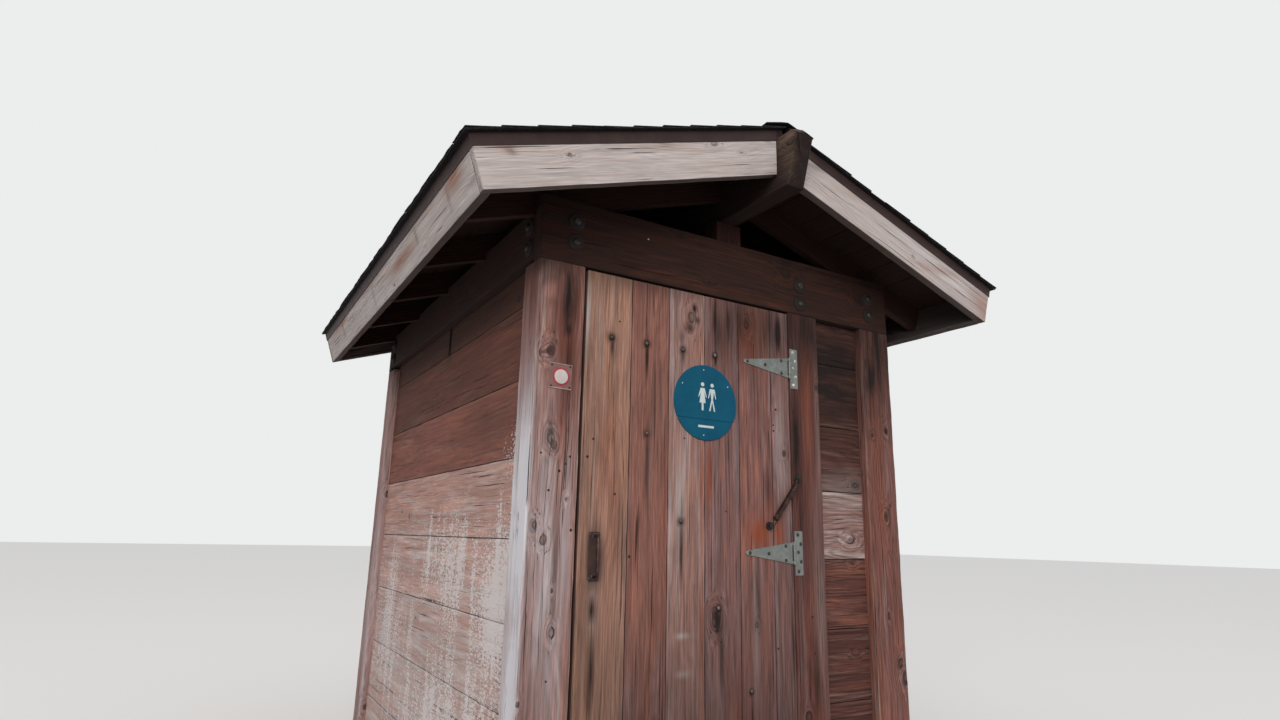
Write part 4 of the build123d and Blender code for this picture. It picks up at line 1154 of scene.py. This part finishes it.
for turn in (95, 150, 35, -95):
    angle = math.radians(turn)
    parts.append(on_front(((0.0026, DISC - SUNK), (0.0026, DISC + 0.0004), (0.0014, DISC + 0.0007)),
                          sign_x + PIN_CIRCLE * math.cos(angle), sign_z + PIN_CIRCLE * math.sin(angle), 12))
make_piece("round_sign_figures_and_pins", parts, white, "door")


# Small plate on the left post: thin painted metal with its edges folded up, faded from red, with a
# red ring on a white disc. The picture inside the ring is left off.

plate_paint = satin_plastic("faded_plate_paint", "#7c5a57", "#8b6c68", size=0.02)
edge_paint = satin_plastic("rubbed_plate_edge", "#a08a84", "#b9a69f", size=0.01)
ring_paint = satin_plastic("faded_red_ring", "#a23a43", "#b04c50", size=0.02)
disc_paint = satin_plastic("chalky_white_disc", "#c9bfbd", "#d8d0cd", size=0.02)
low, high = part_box("small_sign")
plate = ((low.x + high.x) / 2, FACE, (low.z + high.z) / 2)
half_w, half_h = (high.x - low.x) / 2 - 0.002, (high.z - low.z) / 2 - 0.002
tilt = math.radians(-1.2)
tilted = ((math.cos(tilt), 0, math.sin(tilt)), (-math.sin(tilt), 0, math.cos(tilt)), (0, -1, 0))
square = [(-half_w, -half_h), (half_w, -half_h), (half_w, half_h), (-half_w, half_h)]
make_piece("small_plate", [flat_plate(square, plate, *tilted, 0.0012, 0.0003)], plate_paint, "cabin",
           ["small_sign"])
lower_lip = [(-half_w, -half_h), (half_w, -half_h), (half_w, -half_h + 0.004), (-half_w, -half_h + 0.004)]
upper_lip = [(-half_w, half_h - 0.002), (half_w, half_h - 0.002), (half_w, half_h), (-half_w, half_h)]
make_piece("small_plate_lips", [flat_plate(lower_lip, plate, *tilted, 0.0026, 0.0006),
                                flat_plate(upper_lip, plate, *tilted, 0.0018, 0.0004)],
           edge_paint, "cabin")
RING, RING_WIDTH = 0.033, 0.007
ring_x, ring_z = plate[0] + 0.002, plate[2] - 0.001
ring = on_front(((RING, 0.0010), (RING, 0.0016), (RING - 0.0005, 0.0018)), ring_x, ring_z, 40)
make_piece("small_plate_ring", [ring], ring_paint, "cabin")
within = RING - RING_WIDTH
disc = on_front(((within, 0.0016), (within, 0.0020), (within - 0.0005, 0.0021)), ring_x, ring_z, 40)
make_piece("small_plate_disc", [disc], disc_paint, "cabin")
screws = [on_front(((0.0038, 0.0008), (0.0038, 0.0022), (0.0020, 0.0028)),
                   plate[0] + sx * (half_w - 0.008), plate[2] + sz * (half_h - 0.008), 12)
          for sx in (-1, 1) for sz in (-1, 1)]
make_piece("small_plate_screws", screws, rusted, "cabin")


# Roof frame: rafters cut over the side beams, king posts and the ridge beam, all dark and dry. Only the
# ridge beam's front tip is out in the rain, which has rotted its top corner round.

ROOF_PITCH = math.atan2(4, 12)
rafter_wood = weathered_wood("dark_redwood_rafter", "#3f261f", "#4d2e24", "#4d3b36", "#170d0b",
                             turn=(0, -ROOF_PITCH, 0), ring=0.014, greyness=0.2, spots=0.4, relief=0.8)
upright_wood = weathered_wood("dark_redwood_king_post", "#3f261f", "#4d2e24", "#4d3b36", "#170d0b",
                              turn=(0, math.pi / 2, 0), ring=0.014, greyness=0.2, spots=0.4, relief=0.8)
kept = [(f"rafter_pair_{number}", rafter_wood) for number in range(1, 6)]
kept += [("front_king_post", upright_wood), ("rear_king_post", upright_wood)]
for node, wood in kept:
    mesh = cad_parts[node].data
    mesh.materials.clear()
    mesh.materials.append(wood)

tip_wood = weathered_wood("weathered_ridge_beam", "#2c1d1a", "#3b2822", "#4a3c37", "#150f0e", ring=0.012,
                          figure=0.4, warmth=0.45, spots=0.45, relief=1.8, pale="#7d6757")
SIDE_UP = ((0, 1, 0), (-1, 0, 0), (0, 0, 1))
RAKE, WORN_LENGTH, WORN_DEPTH = 0.075, 0.045, 0.041
beam_low, beam_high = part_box("ridge_beam")
half, apex = beam_high.x, beam_high.z
slope = math.tan(ROOF_PITCH)
shoulder = apex - half * slope
rake = RAKE / (apex - beam_low.z)
setback = rake * (apex - shoulder)
lowest = np.array((beam_low.y + setback, -half, beam_low.z))
highest = np.array((beam_high.y - setback, half, shoulder))
rng = np.random.default_rng(50)
tip_marks = (
    ("pale", (-half, lowest[0], 2.74), (0.03, 0.12, 0.03), 0.8),
    ("soot", (0, beam_low.y, 2.70), (0.1, 0.03, 0.10), 1.5),
    ("soot", (half, beam_low.y + 0.04, 2.62), (0.06, 0.04, 0.10), 1.5),
    ("pale", (-half, lowest[0] + 0.05, 2.66), (0.02, 0.05, 0.08), 0.35),
)
beam = timber(rng, lowest, highest, SIDE_UP, step=0.016, across=0.009, arris=0.004, uneven=0.0015,
              checks=drying_checks(rng, (1, 3), 4, 0.012, 0.004), slant=(rake, -rake), marks=tip_marks,
              knots=[((-half, lowest[0] + 0.045, 2.715), 0.014)])
points = beam["points"]
on_top = np.clip((points[:, 2] - shoulder) / 0.004 + 1, 0, 1)
points[:, 2] += on_top * (half - np.abs(points[:, 0])) * slope
from_end = np.minimum(points[:, 1] - beam_low.y, beam_high.y - points[:, 1])
worn = WORN_DEPTH * np.clip(1 - from_end / WORN_LENGTH, 0, 1) ** 1.3
points[:, 2] = np.minimum(points[:, 2], apex - np.abs(points[:, 0]) * slope - worn)
make_piece("ridge_beam_timber", [beam], tip_wood, "cabin", ["ridge_beam"])


# Barge boards and fascias: six-inch boards on edge round the roof. Out from under any shelter, they
# have bleached to a pale beige grey, with brown stains near the ends and joints.

DOWN_RIGHT = ((math.cos(ROOF_PITCH), 0, -math.sin(ROOF_PITCH)), (0, 1, 0),
              (math.sin(ROOF_PITCH), 0, math.cos(ROOF_PITCH)))
DOWN_LEFT = ((-math.cos(ROOF_PITCH), 0, -math.sin(ROOF_PITCH)), (0, -1, 0),
             (-math.sin(ROOF_PITCH), 0, math.cos(ROOF_PITCH)))
trim_wood = weathered_wood("bleached_trim_board", "#bfb3af", "#b5a297", "#cbc4c2", "#6b4a3e", ring=0.009,
                           figure=0.06, warmth=0.15, greyness=0.75, spots=0.15, fibres=0.35, relief=0.8,
                           tones=0.06, clouds=0.3, rust="#9a6b55")
barge_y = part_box("front_left_barge_board")[0].y
eave_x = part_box("left_fascia")[0].x
trim_marks = (
    *marks_on(barge_y, 0.03, rust=(
        (-1.18, 2.37, 0.035, 0.02, 0.55), (1.24, 2.27, 0.1, 0.1, 0.6), (0.95, 2.4, 0.2, 0.02, 0.4),
        (0.45, 2.63, 0.25, 0.02, 0.35),
    ), soot=(
        (0.2, 2.7, 0.1, 0.014, 0.5),
    )),
    *marks_on(barge_y, 0.02, soot=(
        (-1.16, 2.36, 0.018, 0.012, 0.6), (-0.6, 2.57, 0.05, 0.01, 0.35), (-0.1, 2.74, 0.03, 0.012, 0.6),
    )),
    ("rust", (eave_x, -1.20, 2.33), (0.2, 0.100, 0.035), 1.30),
    ("soot", (eave_x, -1.12, 2.28), (0.05, 0.012, 0.05), 0.45),
    ("soot", (eave_x, -0.70, 2.30), (0.05, 0.015, 0.050), 0.40),
    ("soot", (eave_x, 0.10, 2.27), (0.05, 0.020, 0.06), 0.40),
    ("soot", (eave_x, 0.90, 2.30), (0.05, 0.020, 0.060), 0.40),
    ("rust", (eave_x, -0.90, 2.36), (0.2, 0.160, 0.026), 1.30),
    ("rust", (eave_x, -0.45, 2.28), (0.2, 0.200, 0.024), 1.00),
    ("rust", (eave_x, 0.20, 2.36), (0.2, 0.300, 0.026), 1.20),
    ("rust", (eave_x, 0.95, 2.34), (0.2, 0.300, 0.032), 1.00),
)
trim_knots = [((x, barge_y, z), r) for x, z, r in (
    (-0.955, 2.410, 0.006), (-0.360, 2.643, 0.009), (-0.225, 2.643, 0.005), (0.090, 2.640, 0.008),
    (0.75, 2.43, 0.005),
)]
rng = np.random.default_rng(60)
# Each barge board's underside and inner face are darkened: partly the brown that sheltered wood keeps,
# partly painted shade
for node, axes, inner in (("front_right_barge_board", DOWN_RIGHT, 1),
                          ("front_left_barge_board", DOWN_LEFT, 3),
                          ("rear_right_barge_board", DOWN_RIGHT, 3),
                          ("rear_left_barge_board", DOWN_LEFT, 1)):
    low, high = solids(node, axes)[0]
    boards = [timber(rng, low, high, axes, step=0.014, across=0.010, arris=0.0025, marks=trim_marks,
                     slant=(slope, 0.0), checks=drying_checks(rng, (1, 3), 2, 0.004, 0.0018),
                     joints=(0.45, 0.6, 0.0, 0.0) if inner == 1 else (0.45, 0.0, 0.0, 0.6),
                     knots=trim_knots)]
    make_piece(node + "_sawn", boards, trim_wood, "cabin", [node])
# Each fascia's inner face and underside are darkened: partly the brown that sheltered wood keeps, partly
# painted shade
for node, axes in (("right_fascia", ((0, 1, 0), DOWN_RIGHT[2], DOWN_RIGHT[0])),
                   ("left_fascia", ((0, -1, 0), DOWN_LEFT[2], DOWN_LEFT[0]))):
    low, high = solids(node, axes)[0]
    boards = [timber(rng, low, high, axes, step=0.016, across=0.012, arris=0.0025, marks=trim_marks,
                     joints=(0.95, 0.0, 0.0, 0.6), checks=drying_checks(rng, (2,), 2, 0.004, 0.0018),
                     knots=scattered_knots(rng, low, high, axes, 5, 0.004, 0.009))]
    make_piece(node + "_sawn", boards, trim_wood, "cabin", [node])


# Roof deck: boards 38 mm thick, laid side by side along the roof and nailed down to the rafters.
# Shingles cover them, and only their dark stained undersides show under the eaves.

deck_wood = weathered_wood("dark_deck_board", "#33201a", "#3d261e", "#3f2f29", "#120b09", ring=0.014,
                           greyness=0.2, spots=0.4, relief=0.8)
BOARDS_PER_SLOPE = 9
rng = np.random.default_rng(70)
for node, axes in (("right_roof_deck", ((0, -1, 0), DOWN_RIGHT[0], DOWN_RIGHT[2])),
                   ("left_roof_deck", ((0, 1, 0), DOWN_LEFT[0], DOWN_LEFT[2]))):
    low, high = solids(node, axes)[0]
    edges = np.linspace(low[1], high[1], BOARDS_PER_SLOPE + 1)
    edges[0] += (high[2] - low[2]) * slope
    boards = []
    for upper, lower in zip(edges, edges[1:]):
        board_low, board_high = low.copy(), high.copy()
        board_low[1], board_high[1] = upper, lower - (0.002 if lower < high[1] else 0.0)
        # Painted shade on each deck board's edges, where the boards meet
        boards.append(timber(rng, board_low, board_high, axes, step=0.05, across=0.03, joints=0.8))
    make_piece(node + "_boards", boards, deck_wood, "cabin", [node])


# Edging: brown painted steel folded over the deck's edges and nailed, with one lap on each side. Its
# lower edge kicks out to shed the water.

edging_paint = satin_plastic("brown_painted_steel", "#332629", "#41332f", roughness=0.5, size=0.08)
PROFILE = ((0.0016, 0.0470), (0.0006, 0.0460), (0.0006, 0.0150), (0.0000, 0.0130), (-0.0008, 0.0000),
           (-0.0016, 0.0004), (-0.0008, 0.0130), (-0.0002, 0.0150), (-0.0002, 0.0460), (0.0008, 0.0474))
LAP_SHARE, LAP, LAP_LIFT = 0.62, 0.03, 0.0009
for node, axes in (("right_drip_edge", DOWN_RIGHT), ("left_drip_edge", DOWN_LEFT)):
    rng = np.random.default_rng(80)
    parts = []
    for low, high in solids(node, axes):
        rake = high[0] - low[0] > 0.5
        along, through = (0, 1) if rake else (1, 0)
        outward = 1.0 if high[through] > 0 and not (rake and high[1] < 0) else -1.0
        face = high[through] if outward > 0 else low[through]
        lap = low[along] + (high[along] - low[along]) * LAP_SHARE
        for first, last, lift in ((low[along], lap + LAP, 0.0), (lap, high[along], LAP_LIFT)):
            stations = np.linspace(first, last, 60)
            bow = np.abs(wander(rng, stations, 0.35, 0.0004)) + lift
            grid = np.zeros((len(stations), len(PROFILE), 3))
            grid[:, :, along] = stations[:, None]
            grid[:, :, 2] = low[2] + 0.0002 + np.array([up for _, up in PROFILE])[None, :]
            inset = 0.0018 + np.array([back for back, _ in PROFILE])[None, :] + bow[:, None]
            grid[:, :, through] = face - outward * inset
            if rake:
                plumb_cut = low[0] + (high[2] - grid[:, :, 2]) * slope
                grid[:, :, 0] = np.maximum(grid[:, :, 0], plumb_cut)
            turned_to_roof = grid.reshape(-1, 3) @ np.array(axes, float)
            parts.append(lofted(turned_to_roof.reshape(grid.shape)))
    make_piece(node + "_steel", parts, edging_paint, "cabin", [node], sharp=30)


# Shingles: black mineral-faced felt strips in three tabs, nailed in courses 127 mm apart. Their cut
# edges have frayed and curled at the eaves and rakes, and give the roof its ragged black outline.

def mineral_felt(name, colour, grit_colour):
    """Felt faced with crushed slate: 1 to 2 mm grit, drawn at 3 mm so that it shows."""
    material, tree = blank_material(name)
    objects = add(tree, "TexCoord").outputs["Object"]
    grit = add(tree, "TexVoronoi", {"Vector": objects, "Scale": 330.0})
    cloud = add(tree, "TexNoise", {"Vector": objects, "Scale": 5.0, "Detail": 5.0, "Roughness": 0.6})
    speck = add(tree, "SeparateColor", {0: grit.outputs["Color"]})
    share = add(tree, "Math", {0: cloud, 1: 0.8, 2: speck.outputs[0]}, operation="MULTIPLY_ADD")
    share = add(tree, "MapRange", {"Value": share, "From Min": 0.75, "From Max": 1.4})
    tint = add(tree, "Mix", {"Factor": share.outputs[0], "A": paint(colour), "B": paint(grit_colour)},
               data_type="RGBA")
    bump = add(tree, "Bump", {"Height": grit.outputs["Distance"], "Strength": 0.4, "Distance": 0.0012})
    felt = add(tree, "BsdfPrincipled", {"Base Color": tint.outputs["Result"], "Roughness": 0.93,
                                        "Specular IOR Level": 0.25, "Normal": bump})
    add(tree, "OutputMaterial", {"Surface": felt})
    return material


def sheet(top, thickness):
    """A sheet from a grid of points on its top side, thickened straight down the third axis."""
    rows, columns = top.shape[:2]
    under = top.copy()
    under[:, :, 2] -= thickness
    number = np.arange(2 * rows * columns).reshape(2, rows, columns)
    cells = np.stack((number[0, :-1, :-1], number[0, 1:, :-1], number[0, 1:, 1:], number[0, :-1, 1:]), -1)
    faces = [tuple(cell) for cell in cells.reshape(-1, 4)]
    faces += [tuple(cell[::-1] + rows * columns) for cell in cells.reshape(-1, 4)]
    rim = [*number[0, :, 0], *number[0, -1, 1:], *number[0, -2::-1, -1], *number[0, 0, -2:0:-1]]
    shift = rows * columns
    faces += [(b, a, a + shift, b + shift) for a, b in zip(rim, rim[1:] + rim[:1])]
    return np.concatenate((top.reshape(-1, 3), under.reshape(-1, 3))), faces


felt = mineral_felt("black_mineral_felt", "#121113", "#39363a")
EXPOSURE, TAB, SLOT, FELT = 0.127, 0.305, 0.007, 0.0032
HEAD_LAP, UNDER_CAP, UNDERLAY, TABS_ABOVE, SET_BACK = 0.04, 0.012, 0.0033, 0.0044, 0.006
TAB_ROWS, TAB_COLUMNS = 5, 7
for node, axes in (("right_roofing", DOWN_RIGHT), ("left_roofing", DOWN_LEFT)):
    rng = np.random.default_rng(90 if node.startswith("right") else 91)
    low, high = solids(node, axes)[0]
    parts = []
    tabs = [(low[0] + UNDER_CAP, high[0] - SET_BACK, low[1] + SET_BACK, high[1] - SET_BACK, UNDERLAY, 0.0)]
    for course in range(int(math.ceil((high[0] - low[0]) / EXPOSURE))):
        bottom = high[0] - 0.002 - course * EXPOSURE
        top_edge = max(bottom - EXPOSURE - HEAD_LAP, low[0] + UNDER_CAP)
        for place in np.arange(low[1] - (TAB / 2 if course % 2 else 0.0), high[1], TAB):
            start = max(place + SLOT / 2, low[1] + 0.001 + rng.uniform(0, 0.008))
            end = min(place + TAB - SLOT / 2, high[1] - 0.001 - rng.uniform(0, 0.008))
            if bottom - top_edge > 0.01 and end - start > 0.02:
                tabs.append((top_edge, bottom, start, end, TABS_ABOVE, 0.006 if course == 0 else 0.002))
    for upper, lower, start, end, height, ragged in tabs:
        down, over = np.meshgrid(np.linspace(0, 1, TAB_ROWS), np.linspace(-1, 1, TAB_COLUMNS), indexing="ij")
        top = np.zeros((TAB_ROWS, TAB_COLUMNS, 3))
        top[:, :, 0] = upper + (lower - upper) * down
        top[-1, :, 0] -= rng.uniform(0, ragged + 0.0001, TAB_COLUMNS)
        top[:, :, 1] = (start + end) / 2 + (end - start) / 2 * over
        lift = (0.0055 + rng.uniform(0, 0.0012) * np.abs(over) ** 3) * down if ragged else 0.0
        top[:, :, 2] = low[2] + height + lift
        points, faces = sheet(top, FELT - 0.0002)
        parts.append({"points": points @ np.array(axes, float), "faces": faces})
    make_piece(node + "_shingles", parts, felt, "cabin", [node], sharp=25)

# The ridge is capped with single tabs of the same felt bent over it. They lap like scales, and each is
# lifted at its front end.
cap_low, cap_high = solids("ridge_cap", DOWN_RIGHT)[-1]
CAP_LENGTH, CAP_ROWS, CAP_COLUMNS = 0.20, 13, 5
cap_half = cap_high[0] * math.cos(ROOF_PITCH) + cap_low[2] * math.sin(ROOF_PITCH) - 0.002
front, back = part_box("ridge_cap")[0].y + 0.002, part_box("ridge_cap")[1].y - 0.002
rng = np.random.default_rng(95)
parts = []
for start in np.arange(front, back - 0.05, EXPOSURE):
    end = min(start + CAP_LENGTH, back)
    over, along = np.meshgrid(np.linspace(-1, 1, CAP_ROWS), np.linspace(0, 1, CAP_COLUMNS), indexing="ij")
    top = np.zeros((CAP_ROWS, CAP_COLUMNS, 3))
    top[:, :, 0] = over * (cap_half - rng.uniform(0, 0.006))
    top[:, :, 1] = start + (end - start) * along
    rise = FELT + 0.0006 + 0.0062 * (1 - along)
    bent = 0.003 * np.exp(-(top[:, :, 0] / 0.02) ** 2)
    drop = math.sin(ROOF_PITCH) * np.abs(top[:, :, 0])
    top[:, :, 2] = (cap_low[2] + rise - drop) / math.cos(ROOF_PITCH) - bent
    points, faces = sheet(top, FELT)
    parts.append({"points": points, "faces": faces})
make_piece("ridge_cap_shingles", parts, felt, "cabin", ["ridge_cap"], sharp=30)
